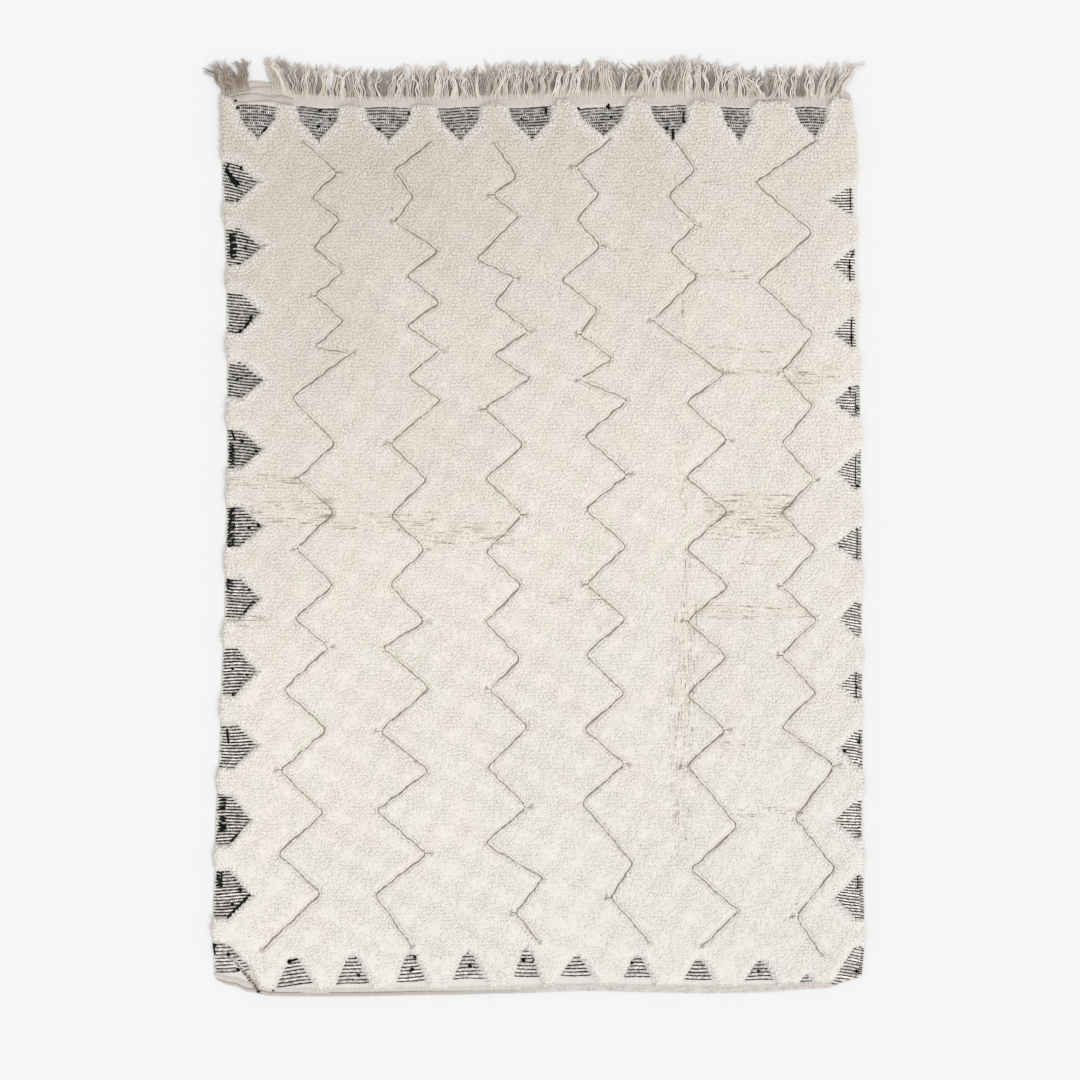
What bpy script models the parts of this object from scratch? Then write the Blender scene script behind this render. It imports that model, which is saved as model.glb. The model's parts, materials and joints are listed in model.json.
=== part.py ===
"""A hand-knotted cream wool rug, lying flat and face up.

The rug is one thick cloth: a flat underside, a woven ground that shows bare in the triangles along
its four edges and along its two ends, and a knotted pile that stands over the rest of it. Six
zigzag grooves run down the pile. A fringe of loose warp ends lies on the floor past one end.
Sizes are in metres. +X runs across the rug, +Y along it towards the fringe, +Z up from the floor.
"""

import math

import bmesh
import bpy
import numpy as np
from mathutils.geometry import delaunay_2d_cdt

# The cloth, as it came off the loom
CLOTH_WIDTH = 1.70
CLOTH_LENGTH = 2.40
GROUND_THICKNESS = 0.004
PILE_HEIGHT = 0.016
HEM_Y = -1.257
CORNER_RADIUS = 0.024
HEM_FADE = 20
FRINGE_FADE = 90

# The pile's edges
WALL_RUN = 0.006
PAST_SIDE = 0.02
RIM_RUN = 0.018
RIM_SHARE = 0.42
PILE_FROM = 0.022
PILE_TO = 2.366
SIDE_BULGE = 0.005
SIDE_BULGE_RUN = 0.030
RIM_LOCK = 0.0024
RIM_LOCK_RUN = 0.010
RIM_LOCK_WAVES = (151.0, 97.0)

# Grooves and lumps in the pile's face
GROOVE_HALF_WIDTH = 0.009
GROOVE_DEPTH = 0.008
LUMP_HEIGHT = 0.0011
SWELL_HEIGHT = 0.0016
UNEVEN_TURN = 0.003
TURN_WAVES = (2.7, 1.9)
UNEVEN_TRIANGLE = 0.004
TRIANGLE_WAVES = 2.4
LUMP_WAVES = ((61.0, 17.0), (-23.0, 53.0))
SWELL_WAVES = ((11.0, 3.0), (-4.0, 7.0))

# How finely the solid follows its shape
RIM_STEP = 0.024
HEM_STEP = 0.040
FIELD_STEP = 0.042
FIELD_SCATTER = 0.008
RIM_RINGS = (0.003, 0.013)
CLEAR_OF_WALLS = 0.005
CLEAR_OF_GROOVES = 0.009
SHARP_EDGE_ANGLE = 35.0
CDT_TOLERANCE = 1e-7

# The fringe
SEAM_GAP = 0.0003
STRIP_DEPTH = 0.006
STRIP_HEIGHT = 0.0038
STRIP_HALF_LENGTH = 0.826
STRIP_STEP = 0.060
STRAND_PITCH = 0.0108
STRAND_ROOT_WIDTH = 0.0078
STRAND_TIP_WIDTH = 0.0036
STRAND_TIP_HEIGHT = 0.0020
STRAND_JOINTS = 4
STRAND_WAVE = 0.0020
STRAND_UNEVEN_LENGTH = 0.005
LENGTH_WAVES = 60.0
WAVES_DOWN_STRAND = 5.5
WAVES_ACROSS = 40.0
TUFT_PULL = 0.30
TUFT_BEND = 1.3

# Where the cloth's two sides lie, at places along it from the hem
SIDE_ROWS = (
    # along, left side, right side
    (0.00, -0.860, 0.862),
    (0.15, -0.866, 0.870),
    (0.39, -0.859, 0.867),
    (0.79, -0.843, 0.863),
    (1.05, -0.833, 0.863),
    (1.45, -0.826, 0.859),
    (1.85, -0.828, 0.852),
    (2.25, -0.841, 0.846),
    (2.40, -0.841, 0.830),
)

# How far the two ends lie past straight lines, both counted towards the fringe
END_ROWS = (
    # across, hem, fringed end
    (-0.85, 0.040, 0.008),
    (-0.80, 0.028, 0.028),
    (-0.76, 0.012, 0.036),
    (-0.70, 0.001, 0.029),
    (-0.64, 0.000, 0.004),
    (-0.50, 0.000, -0.005),
    (-0.25, 0.004, -0.005),
    (-0.08, 0.008, 0.001),
    (0.12, 0.014, 0.013),
    (0.45, 0.008, 0.013),
    (0.56, 0.010, -0.005),
    (0.74, 0.020, -0.005),
    (0.85, 0.048, 0.010),
)

# Rows of flat-woven triangles. "bend" moves the middle ones of a row towards its first one.
TRIANGLE_ROWS = (
    # edge, count, first, last, bend, first half base, last half base, first depth, last depth
    ("fringe", 2, -0.754, -0.591, 0.000, 0.054, 0.056, 0.085, 0.092),
    ("fringe", 4, -0.403, 0.174, 0.000, 0.061, 0.062, 0.091, 0.081),
    ("fringe", 3, 0.358, 0.740, 0.029, 0.047, 0.042, 0.088, 0.083),
    ("left", 5, 2.165, 1.455, 0.012, 0.053, 0.051, 0.096, 0.092),
    ("left", 6, 1.250, 0.269, 0.007, 0.055, 0.067, 0.094, 0.095),
    ("right", 7, 2.117, 1.005, 0.020, 0.046, 0.053, 0.072, 0.064),
    ("right", 4, 0.829, 0.259, 0.040, 0.045, 0.069, 0.058, 0.080),
    ("hem", 5, -0.637, -0.032, 0.000, 0.052, 0.046, 0.084, 0.100),
    ("hem", 4, 0.099, 0.579, 0.000, 0.051, 0.045, 0.084, 0.069),
    ("hem", 1, 0.702, 0.702, 0.000, 0.015, 0.015, 0.023, 0.023),
)

# Where a triangle's sides turn in more sharply, as shares of its half base and of its depth
SHOULDER_ROWS = (
    # edge, half width, depth
    ("fringe", 0.84, 0.43),
    ("left", 0.97, 0.41),
    ("right", 0.80, 0.32),
    ("hem", 0.26, 0.90),
)

# The bare corners beside the hem, as chains of (across, along) places
CORNER_CHAINS = (
    ((-0.88, 0.137), (-0.812, 0.130), (-0.757, 0.076), (-0.740, 0.030), (-0.724, -0.03), (-0.88, -0.03)),
    ((0.88, 0.128), (0.822, 0.112), (0.770, 0.012), (0.790, -0.030), (0.88, -0.03)),
)

# Stretches of the six grooves, from the fringed end down. Turns fall left and right in turn.
GROOVE_ROWS = (
    # line, upper end, lower end, turns, left turns, right turns
    (1, 2.225, 1.696, 8, -0.611, -0.537),
    (1, 1.768, 1.529, 2, -0.678, -0.518),
    (1, 1.520, 0.957, 6, -0.663, -0.557),
    (1, 0.983, 0.218, 7, -0.683, -0.569),
    (2, 2.224, 2.029, 3, -0.392, -0.337),
    (2, 2.013, 1.552, 7, -0.363, -0.277),
    (2, 1.515, 0.954, 6, -0.414, -0.313),
    (2, 0.982, 0.220, 7, -0.426, -0.297),
    (3, 2.209, 2.046, 3, -0.131, -0.056),
    (3, 1.991, 1.879, 2, -0.177, -0.073),
    (3, 1.872, 1.606, 4, -0.130, -0.039),
    (3, 1.612, 0.853, 8, -0.158, -0.055),
    (3, 0.870, 0.353, 5, -0.140, -0.036),
    (3, 0.360, 0.183, 2, -0.059, 0.007),
    (4, 2.241, 1.957, 4, 0.094, 0.162),
    (4, 1.948, 1.784, 2, 0.050, 0.149),
    (4, 1.787, 1.611, 3, 0.099, 0.185),
    (4, 1.633, 0.471, 12, 0.109, 0.223),
    (4, 0.406, 0.213, 2, 0.189, 0.242),
    (5, 2.231, 1.875, 5, 0.340, 0.419),
    (5, 1.870, 1.583, 2, 0.294, 0.485),
    (5, 1.624, 0.566, 11, 0.381, 0.490),
    (5, 0.512, 0.168, 3, 0.393, 0.521),
    (6, 2.232, 1.695, 4, 0.577, 0.730),
    (6, 1.707, 0.672, 11, 0.635, 0.723),
    (6, 0.678, 0.143, 4, 0.666, 0.775),
)

# Where each groove starts and ends
GROOVE_ENDS = (
    # line, start across, start along, end across, end along
    (1, -0.631, 2.271, -0.722, 0.124),
    (2, -0.291, 2.268, -0.329, 0.134),
    (3, -0.120, 2.268, 0.001, 0.143),
    (4, 0.191, 2.276, 0.287, 0.143),
    (5, 0.362, 2.276, 0.425, 0.133),
    (6, 0.740, 2.274, 0.737, 0.103),
)

# Tufts of the fringe, across the fringed end
TUFT_ROWS = (
    # from, to, shift of the tip, length
    (-0.826, -0.795, -0.058, 0.070),
    (-0.790, -0.756, -0.014, 0.064),
    (-0.706, -0.652, -0.042, 0.073),
    (-0.648, -0.582, -0.002, 0.084),
    (-0.578, -0.474, 0.000, 0.085),
    (-0.470, -0.416, -0.004, 0.062),
    (-0.412, -0.346, 0.005, 0.084),
    (-0.342, -0.240, 0.006, 0.096),
    (-0.236, -0.146, -0.006, 0.076),
    (-0.142, -0.026, 0.008, 0.096),
    (-0.022, 0.070, 0.000, 0.088),
    (0.074, 0.128, -0.004, 0.070),
    (0.132, 0.222, 0.004, 0.086),
    (0.226, 0.266, 0.000, 0.064),
    (0.270, 0.352, 0.002, 0.083),
    (0.356, 0.464, 0.006, 0.096),
    (0.468, 0.564, 0.000, 0.090),
    (0.568, 0.618, -0.005, 0.073),
    (0.622, 0.688, 0.003, 0.091),
    (0.692, 0.732, 0.000, 0.068),
    (0.736, 0.800, 0.004, 0.092),
    (0.804, 0.826, 0.020, 0.072),
)

# Colours and finish: name, linear red, green and blue, roughness
WOOL = ("rug_wool", (0.76, 0.70, 0.62), 0.95)
WARP = ("fringe_yarn", (0.60, 0.53, 0.45), 0.90)


def clear_scene():
    """Empties the file of everything that it opened with."""
    for thing in list(bpy.data.objects):
        bpy.data.objects.remove(thing, do_unlink=True)


def eased(at, rows, column):
    """A table's column read between its rows, easing in and out of each row's value."""
    places = np.array([row[0] for row in rows])
    values = np.array([row[column] for row in rows])
    step = np.clip(np.searchsorted(places, at) - 1, 0, len(places) - 2)
    share = np.clip((at - places[step]) / (places[step + 1] - places[step]), 0.0, 1.0)
    share = share * share * (3.0 - 2.0 * share)
    return values[step] + share * (values[step + 1] - values[step])


def ramp(share):
    """0 below 0, 1 above 1 and a soft S between them."""
    share = np.clip(share, 0.0, 1.0)
    return share * share * (3.0 - 2.0 * share)


def crossed_waves(places, waves):
    """Soft lumps where two sets of waves cross, from -1 to 1."""
    first, second = np.array(waves)
    return np.sin(places @ first) * np.sin(places @ second)


def lying(across, along):
    """Where a place of the cloth lies on the floor, as X and Y."""
    left = eased(along, SIDE_ROWS, 1)
    right = eased(along, SIDE_ROWS, 2)
    x = left + (across / CLOTH_WIDTH + 0.5) * (right - left)
    far = np.clip(along / CLOTH_LENGTH, 0.0, 1.0)
    hem = eased(across, END_ROWS, 1) * (1.0 - far) ** HEM_FADE
    fringed = eased(across, END_ROWS, 2) * far**FRINGE_FADE
    return x, HEM_Y + along + hem + fringed


def woven_triangles():
    """The bare triangles, each a chain of (across, along) corners from one end of its base to the other."""
    shoulders = {edge: (half, depth) for edge, half, depth in SHOULDER_ROWS}
    found = []
    for row, values in enumerate(TRIANGLE_ROWS):
        edge, count, first, last, bend, base_a, base_b, depth_a, depth_b = values
        wide, deep = shoulders[edge]
        for i in range(count):
            share = i / max(count - 1, 1)
            place = first + (last - first) * (share - bend * 4.0 * share * (1.0 - share))
            waver = UNEVEN_TRIANGLE * math.sin(TRIANGLE_WAVES * i + row)
            half = base_a + (base_b - base_a) * share + waver
            depth = depth_a + (depth_b - depth_a) * share - waver
            spread = place + half * np.array([-1.0, -wide, 0.0, wide, 1.0])
            inward = depth * np.array([0.0, deep, 1.0, deep, 0.0])
            if edge in ("left", "right"):
                inward[[0, -1]] = -PAST_SIDE
                side = -1.0 if edge == "left" else 1.0
                found.append(np.column_stack([side * (0.5 * CLOTH_WIDTH - inward), spread]))
            elif edge == "hem":
                found.append(np.column_stack([spread, PILE_FROM + inward]))
            else:
                found.append(np.column_stack([spread, PILE_TO - inward]))
    return found + [np.array(corners) for corners in CORNER_CHAINS]


def groove_lines():
    """The six grooves, each as (across, along) places at its turns."""
    lines = []
    for line, start_across, start_along, end_across, end_along in GROOVE_ENDS:
        places = [(start_across, start_along)]
        turn = line
        for number, upper, lower, turns, left, right in GROOVE_ROWS:
            if number != line:
                continue
            for k in range(turns):
                along = upper - (upper - lower) * (k + 0.5) / turns
                across = right if turn % 2 else left
                waver = UNEVEN_TURN * math.sin(TURN_WAVES[0] * turn + line)
                drift = UNEVEN_TURN * math.sin(TURN_WAVES[1] * turn + 2.0 * line)
                places.append((across + waver, along + drift))
                turn += 1
        places.append((end_across, end_along))
        lines.append(np.array(places))
    return lines


def outside_triangles(places, triangles):
    """How far each place lies outside the nearest bare triangle, below 0 inside one."""
    nearest = np.full(len(places), np.inf)
    for corners in triangles:
        edges = np.roll(corners, -1, axis=0) - corners
        area = np.cross(edges[0], corners[2] - corners[0])
        outward = np.stack([edges[:, 1], -edges[:, 0]], axis=1) * np.sign(area)
        outward /= np.linalg.norm(outward, axis=1, keepdims=True)
        distance = np.max([(places - c) @ n for c, n in zip(corners, outward)], axis=0)
        nearest = np.minimum(nearest, distance)
    return nearest


def from_lines(places, lines):
    """How far each place lies from the nearest groove."""
    nearest = np.full(len(places), np.inf)
    for line in lines:
        for a, b in zip(line[:-1], line[1:]):
            run = b - a
            share = np.clip((places - a) @ run / (run @ run), 0.0, 1.0)
            distance = np.linalg.norm(places - a - share[:, None] * run, axis=1)
            nearest = np.minimum(nearest, distance)
    return nearest


def side_bulge(along, side, triangles):
    """How far the pile swells past the cloth's side between the triangles of that side."""
    inside = np.full(np.shape(along), np.inf)
    for corners in triangles:
        if min(side * corners[0, 0], side * corners[-1, 0]) > 0.5 * CLOTH_WIDTH:
            middle = 0.5 * (corners[0, 1] + corners[-1, 1])
            half = 0.5 * abs(corners[0, 1] - corners[-1, 1])
            inside = np.minimum(inside, np.abs(along - middle) - half)
    first, second = RIM_LOCK_WAVES
    locks = RIM_LOCK * np.sin(first * along + side) * np.sin(second * along)
    return SIDE_BULGE * ramp(inside / SIDE_BULGE_RUN) + locks * ramp(inside / RIM_LOCK_RUN)


def pile_share(places, triangles):
    """The pile's share of its full height: 0 on bare ground, 1 well inside the pile."""
    across, along = places[:, 0], places[:, 1]
    share = ramp(outside_triangles(places, triangles) / WALL_RUN)
    share *= ramp((along - PILE_FROM) / WALL_RUN) * ramp((PILE_TO - along) / WALL_RUN)
    side = np.where(across < 0.0, -1.0, 1.0)
    bulge = np.where(
        side < 0.0, side_bulge(along, -1.0, triangles), side_bulge(along, 1.0, triangles)
    )
    inward = np.clip((0.5 * CLOTH_WIDTH + bulge - np.abs(across)) / RIM_RUN, 0.0, 1.0)
    rounded = RIM_SHARE + (1.0 - RIM_SHARE) * np.sqrt(1.0 - (1.0 - inward) ** 2)
    return share * rounded


def height(places, triangles, lines):
    """The top face's height over the floor: ground, pile, lumps and grooves."""
    lumps = LUMP_HEIGHT * crossed_waves(places, LUMP_WAVES)
    swells = SWELL_HEIGHT * crossed_waves(places, SWELL_WAVES)
    groove = GROOVE_DEPTH * ramp(1.0 - from_lines(places, lines) / GROOVE_HALF_WIDTH)
    full = PILE_HEIGHT + lumps + swells - groove
    return GROUND_THICKNESS + full * pile_share(places, triangles)


def stations(start, end, step):
    """Even places from start to end, about a step apart."""
    return np.linspace(start, end, int(round((end - start) / step)) + 1)


def strip_stations():
    """Places across the fringed end, shared by the cloth and the fringe's strip."""
    return stations(-STRIP_HALF_LENGTH, STRIP_HALF_LENGTH, STRIP_STEP)


def corner_arc(across, along, first_angle):
    """The inner places of a corner's quarter circle, anticlockwise."""
    angles = np.radians(first_angle + np.array([30.0, 60.0]))
    return np.column_stack(
        [across + CORNER_RADIUS * np.cos(angles), along + CORNER_RADIUS * np.sin(angles)]
    )


def rim(triangles):
    """The cloth's outline, anticlockwise from the left end of the hem."""
    half = 0.5 * CLOTH_WIDTH
    reach = half - CORNER_RADIUS
    top = CLOTH_LENGTH - CORNER_RADIUS
    hem = stations(-reach, reach, HEM_STEP)
    side = stations(CORNER_RADIUS, top, RIM_STEP)
    end = strip_stations()[::-1]
    right = half + side_bulge(side, 1.0, triangles)
    left = -half - side_bulge(side, -1.0, triangles)
    return np.concatenate(
        [
            np.column_stack([hem, np.zeros(len(hem))]),
            corner_arc(reach, CORNER_RADIUS, 270.0),
            np.column_stack([right, side]),
            corner_arc(reach, top, 0.0),
            np.column_stack([end, np.full(len(end), CLOTH_LENGTH)]),
            corner_arc(-reach, top, 90.0),
            np.column_stack([left, side])[::-1],
            corner_arc(-reach, CORNER_RADIUS, 180.0),
        ]
    )


def grown(corners, by):
    """A triangle or shield with each of its sides moved outwards."""
    edges = np.roll(corners, -1, axis=0) - corners
    area = np.cross(edges[0], corners[2] - corners[0])
    after = np.stack([edges[:, 1], -edges[:, 0]], axis=1) * np.sign(area)
    after /= np.linalg.norm(after, axis=1, keepdims=True)
    before = np.roll(after, 1, axis=0)
    return corners + by * (before + after) / (1.0 + np.sum(before * after, axis=1, keepdims=True))


def beside(line, by):
    """A line moved sideways, with mitred turns."""
    runs = np.diff(line, axis=0)
    runs /= np.linalg.norm(runs, axis=1, keepdims=True)
    normals = np.column_stack([-runs[:, 1], runs[:, 0]])
    before = np.concatenate([normals[:1], normals])
    after = np.concatenate([normals, normals[-1:]])
    mitre = before + after
    mitre /= np.sum(mitre * before, axis=1, keepdims=True)
    return line + by * mitre


def crease_lines(triangles, lines):
    """Every line that the solid's faces have to follow, as lists of places."""
    found = []
    for corners in triangles:
        found += [corners, grown(corners, WALL_RUN)]
    across = stations(-0.5 * CLOTH_WIDTH + RIM_RUN, 0.5 * CLOTH_WIDTH - RIM_RUN, STRIP_STEP)
    for along in (PILE_FROM, PILE_FROM + WALL_RUN, PILE_TO - WALL_RUN, PILE_TO):
        found.append(np.column_stack([across, np.full(len(across), along)]))
    for line in lines:
        found += [line, beside(line, GROOVE_HALF_WIDTH), beside(line, -GROOVE_HALF_WIDTH)]
    return found


def inner_places(triangles, lines):
    """Places in the field and just inside the rim, clear of every line."""
    chance = np.random.default_rng(7)
    half_width = 0.5 * CLOTH_WIDTH
    across = stations(-half_width, half_width, FIELD_STEP)
    along = stations(PILE_FROM, PILE_TO, FIELD_STEP)
    field = np.stack(np.meshgrid(across, along), axis=-1)
    field[1::2, :, 0] += 0.5 * FIELD_STEP
    field = field.reshape(-1, 2)
    field += chance.uniform(-FIELD_SCATTER, FIELD_SCATTER, field.shape)
    field = field[np.abs(field[:, 0]) < half_width - RIM_RUN - CLEAR_OF_WALLS]
    side = stations(PILE_FROM, PILE_TO, RIM_STEP)
    rings = [
        np.column_stack([np.full(len(side), sign * (half_width - inset)), side])
        for sign in (-1.0, 1.0)
        for inset in RIM_RINGS
    ]
    places = np.concatenate([field, *rings])
    ends = np.minimum(places[:, 1] - PILE_FROM, PILE_TO - places[:, 1])
    clear = outside_triangles(places, triangles) > WALL_RUN + CLEAR_OF_WALLS
    clear &= ends > WALL_RUN + CLEAR_OF_WALLS
    clear &= from_lines(places, lines) > GROOVE_HALF_WIDTH + CLEAR_OF_GROOVES
    return places[clear]


def triangulated(outline, lines, loose):
    """A flat net of triangles inside the outline that follows each line, as places and faces."""
    places = [*outline]
    edges = [(i, (i + 1) % len(outline)) for i in range(len(outline))]
    for line in lines:
        edges += [(len(places) + i, len(places) + i + 1) for i in range(len(line) - 1)]
        places += [*line]
    places += [*loose]
    rug = [list(range(len(outline)))]
    made = delaunay_2d_cdt([tuple(p) for p in places], edges, rug, 1, CDT_TOLERANCE, True)
    faces = [face for face, within in zip(made[2], made[5]) if within]
    return np.array([tuple(p) for p in made[0]]), faces


def wool(look):
    """The material of one kind of yarn."""
    name, colour, roughness = look
    material = bpy.data.materials.new(name)
    material.use_nodes = True
    shader = material.node_tree.nodes["Principled BSDF"]
    shader.inputs["Base Color"].default_value = (*colour, 1.0)
    shader.inputs["Roughness"].default_value = roughness
    shader.inputs["Metallic"].default_value = 0.0
    material.diffuse_color = (*colour, 1.0)
    return material


def shown(name, net, look):
    """Puts a finished bmesh into the scene as one named object."""
    bmesh.ops.recalc_face_normals(net, faces=net.faces)
    mesh = bpy.data.meshes.new(name)
    net.to_mesh(mesh)
    net.free()
    mesh.materials.append(wool(look))
    thing = bpy.data.objects.new(name, mesh)
    bpy.context.scene.collection.objects.link(thing)
    return thing


def build_rug():
    """The ground and its pile: a net shaped by its height, closed by a wall and a flat underside."""
    triangles = woven_triangles()
    lines = groove_lines()
    outline = rim(triangles)
    loose = inner_places(triangles, lines)
    places, faces = triangulated(outline, crease_lines(triangles, lines), loose)
    x, y = lying(places[:, 0], places[:, 1])
    z = height(places, triangles, lines)
    net = bmesh.new()
    points = [net.verts.new(p) for p in zip(x, y, z)]
    for face in faces:
        net.faces.new([points[i] for i in face])
    bmesh.ops.delete(net, geom=[v for v in net.verts if not v.link_faces], context="VERTS")
    brink = [e for e in net.edges if e.is_boundary]
    wall = bmesh.ops.extrude_edge_only(net, edges=brink)["geom"]
    for point in wall:
        if isinstance(point, bmesh.types.BMVert):
            point.co.z = 0.0
    bmesh.ops.holes_fill(net, edges=[e for e in net.edges if e.is_boundary], sides=0)
    rug = shown("rug", net, WOOL)
    rug.data.shade_smooth()
    rug.data.set_sharp_from_angle(angle=math.radians(SHARP_EDGE_ANGLE))


def strands():
    """Each strand's centre line, as its places across and along at its joints."""
    joints = np.linspace(0.0, 1.0, STRAND_JOINTS)
    found = []
    for start, end, shift, length in TUFT_ROWS:
        count = max(int(round((end - start) / STRAND_PITCH)), 2)
        roots = start + (np.arange(count) + 0.5) * (end - start) / count
        for root in roots:
            uneven = STRAND_UNEVEN_LENGTH * math.sin(LENGTH_WAVES * root)
            out = joints * (length - STRIP_DEPTH + uneven)
            pull = -TUFT_PULL * (root - 0.5 * (start + end)) * joints
            wave = STRAND_WAVE * np.sin(WAVES_DOWN_STRAND * joints + WAVES_ACROSS * root) * joints
            across = root + shift * joints**TUFT_BEND + pull + wave
            found.append((across, CLOTH_LENGTH + STRIP_DEPTH + out))
    return found


def build_fringe():
    """A narrow strip along the cloth's end, with strands that lie on the floor past it."""
    net = bmesh.new()

    def point(across, along, z):
        x, y = lying(np.array([across]), np.array([along]))
        return net.verts.new((x[0], y[0], z))

    share = np.linspace(0.0, 1.0, STRAND_JOINTS)
    half_width = 0.5 * (STRAND_ROOT_WIDTH + (STRAND_TIP_WIDTH - STRAND_ROOT_WIDTH) * share)
    top = STRIP_HEIGHT + (STRAND_TIP_HEIGHT - STRIP_HEIGHT) * share
    near = CLOTH_LENGTH + SEAM_GAP
    far = CLOTH_LENGTH + STRIP_DEPTH
    near_low = [point(across, near, 0.0) for across in strip_stations()]
    near_high = [point(across, near, STRIP_HEIGHT) for across in strip_stations()]
    far_low = [point(-STRIP_HALF_LENGTH, far, 0.0)]
    far_high = [point(-STRIP_HALF_LENGTH, far, STRIP_HEIGHT)]
    for across, along in strands():
        rings = [
            [
                point(across[j] - half_width[j], along[j], 0.0),
                point(across[j] + half_width[j], along[j], 0.0),
                point(across[j] + half_width[j], along[j], top[j]),
                point(across[j] - half_width[j], along[j], top[j]),
            ]
            for j in range(STRAND_JOINTS)
        ]
        for a, b in zip(rings[:-1], rings[1:]):
            for i in range(4):
                net.faces.new((a[i], a[(i + 1) % 4], b[(i + 1) % 4], b[i]))
        net.faces.new(rings[-1])
        net.faces.new((far_low[-1], rings[0][0], rings[0][3], far_high[-1]))
        far_low += [rings[0][0], rings[0][1]]
        far_high += [rings[0][3], rings[0][2]]
    far_low.append(point(STRIP_HALF_LENGTH, far, 0.0))
    far_high.append(point(STRIP_HALF_LENGTH, far, STRIP_HEIGHT))
    net.faces.new((far_low[-2], far_low[-1], far_high[-1], far_high[-2]))
    net.faces.new(near_high + far_high[::-1])
    net.faces.new(near_low + far_low[::-1])
    for i in range(len(near_low) - 1):
        net.faces.new((near_low[i], near_low[i + 1], near_high[i + 1], near_high[i]))
    net.faces.new((near_low[0], near_high[0], far_high[0], far_low[0]))
    net.faces.new((near_low[-1], near_high[-1], far_high[-1], far_low[-1]))
    shown("fringe", net, WARP)


def main():
    clear_scene()
    build_rug()
    build_fringe()


main()
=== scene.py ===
"""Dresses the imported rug: its woven ground, its knotted pile, the yarns of its bare triangles and its fringe.

The file is laid out as an add-on and is run as a script. Sizes are in metres. +X runs across the
rug, +Y along it towards the fringe and +Z up from the floor. Places on the cloth are counted as
(across, along): across from its middle line, along from its hem. lying() turns them into X and Y.
"""

import json
import math
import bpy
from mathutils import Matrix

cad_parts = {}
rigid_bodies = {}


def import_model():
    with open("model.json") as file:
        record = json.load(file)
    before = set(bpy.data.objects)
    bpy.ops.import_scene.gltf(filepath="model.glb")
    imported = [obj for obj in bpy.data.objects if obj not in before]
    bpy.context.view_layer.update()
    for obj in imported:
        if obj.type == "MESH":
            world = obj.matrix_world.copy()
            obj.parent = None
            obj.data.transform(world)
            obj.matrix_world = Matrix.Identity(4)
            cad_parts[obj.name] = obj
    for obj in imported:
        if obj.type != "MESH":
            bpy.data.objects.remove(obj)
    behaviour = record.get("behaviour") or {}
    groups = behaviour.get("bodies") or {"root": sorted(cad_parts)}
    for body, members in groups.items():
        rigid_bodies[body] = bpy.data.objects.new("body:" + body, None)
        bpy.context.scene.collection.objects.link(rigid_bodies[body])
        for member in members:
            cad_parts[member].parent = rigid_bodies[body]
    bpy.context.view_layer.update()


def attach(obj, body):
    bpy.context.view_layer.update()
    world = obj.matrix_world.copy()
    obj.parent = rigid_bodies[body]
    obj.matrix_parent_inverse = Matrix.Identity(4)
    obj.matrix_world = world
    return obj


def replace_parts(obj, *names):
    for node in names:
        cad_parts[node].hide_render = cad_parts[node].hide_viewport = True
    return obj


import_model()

from types import SimpleNamespace

import bpy
import numpy as np
from bpy.props import FloatProperty, FloatVectorProperty, IntProperty, PointerProperty
from mathutils import Vector

bl_info = {
    "name": "Knotted Wool Rug",
    "version": (1, 0, 0),
    "blender": (4, 5, 0),
    "location": "View3D > Sidebar > Rug",
    "description": "Weaves, knots and fringes the rug over its packed solids",
    "category": "Add Mesh",
}

# The cloth, as it came off the loom
CLOTH_WIDTH = 1.70
CLOTH_LENGTH = 2.40
HALF_WIDTH = 0.5 * CLOTH_WIDTH
HEM_Y = -1.257
CORNER_RADIUS = 0.024
HEM_FADE = 20
FRINGE_FADE = 90
PAST_SIDE = 0.02
PILE_FROM = 0.022
PILE_TO = 2.366
PILE_LOW = 0.0165
LEFT_SELVEDGE = 0.0025
RIGHT_SELVEDGE = 0.0100
SIDE_BULGE = 0.005
SIDE_BULGE_RUN = 0.030
RIM_LOCK = 0.0024
RIM_LOCK_RUN = 0.010
RIM_LOCK_WAVES = (151.0, 97.0)
UNEVEN_TURN = 0.003
TURN_WAVES = (2.7, 1.9)
UNEVEN_TRIANGLE = 0.004
TRIANGLE_WAVES = 2.4
SPUR_LENGTH = 0.012
LUMP_HEIGHT = 0.0011
SWELL_HEIGHT = 0.0016
LUMP_WAVES = ((61.0, 17.0), (-23.0, 53.0))
SWELL_WAVES = ((11.0, 3.0), (-4.0, 7.0))
NET_BAND = 0.125
NET_FINE = 0.005
NET_COARSE = 0.0085
RIM_STEP = 0.0016
RIM_THINNED = 0.0014
CREASE_HEIGHT = 0.0050
GROOVE_REACH = 0.011
GROOVE_SHARE = 0.62
CLEAR_BEFORE = 0.0038
CLEAR_AFTER = 0.007
GROOVE_PUSH = 0.0062
GROOVE_PUSH_REACH = 0.018
EDGE_PUSH_REACH = 0.013
ROOT_DROP = 0.012
LEAN_SCATTER = 0.0014
LEAN_OUT = 0.0040
HEM_STRIP = 0.026
CORNER_STRIP = 0.036
CORNER_STRIP_TO = -0.73
MAP_CORNER = (-0.9, -1.3)
MAP_SIZE = (1.8, 2.6)
SIDE_STEPS = 7
FRINGED_ROWS = 3
OFF_FLOOR = 0.0002
PILE_SEED, STRIPE_SEED, KNOT_SEED, FLOAT_SEED, FRINGE_SEED = 11, 23, 31, 37, 47
FLOAT_SPACING = 0.0078
YARN_LIFT = 0.0004

# Where the cloth's two sides lie, at places along it from the hem
SIDE_ROWS = (
    # along, left side, right side
    (0.00, -0.860, 0.862),
    (0.15, -0.866, 0.870),
    (0.39, -0.859, 0.867),
    (0.79, -0.843, 0.863),
    (1.05, -0.833, 0.863),
    (1.45, -0.826, 0.859),
    (1.85, -0.828, 0.852),
    (2.25, -0.841, 0.846),
    (2.40, -0.841, 0.830),
)

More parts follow.
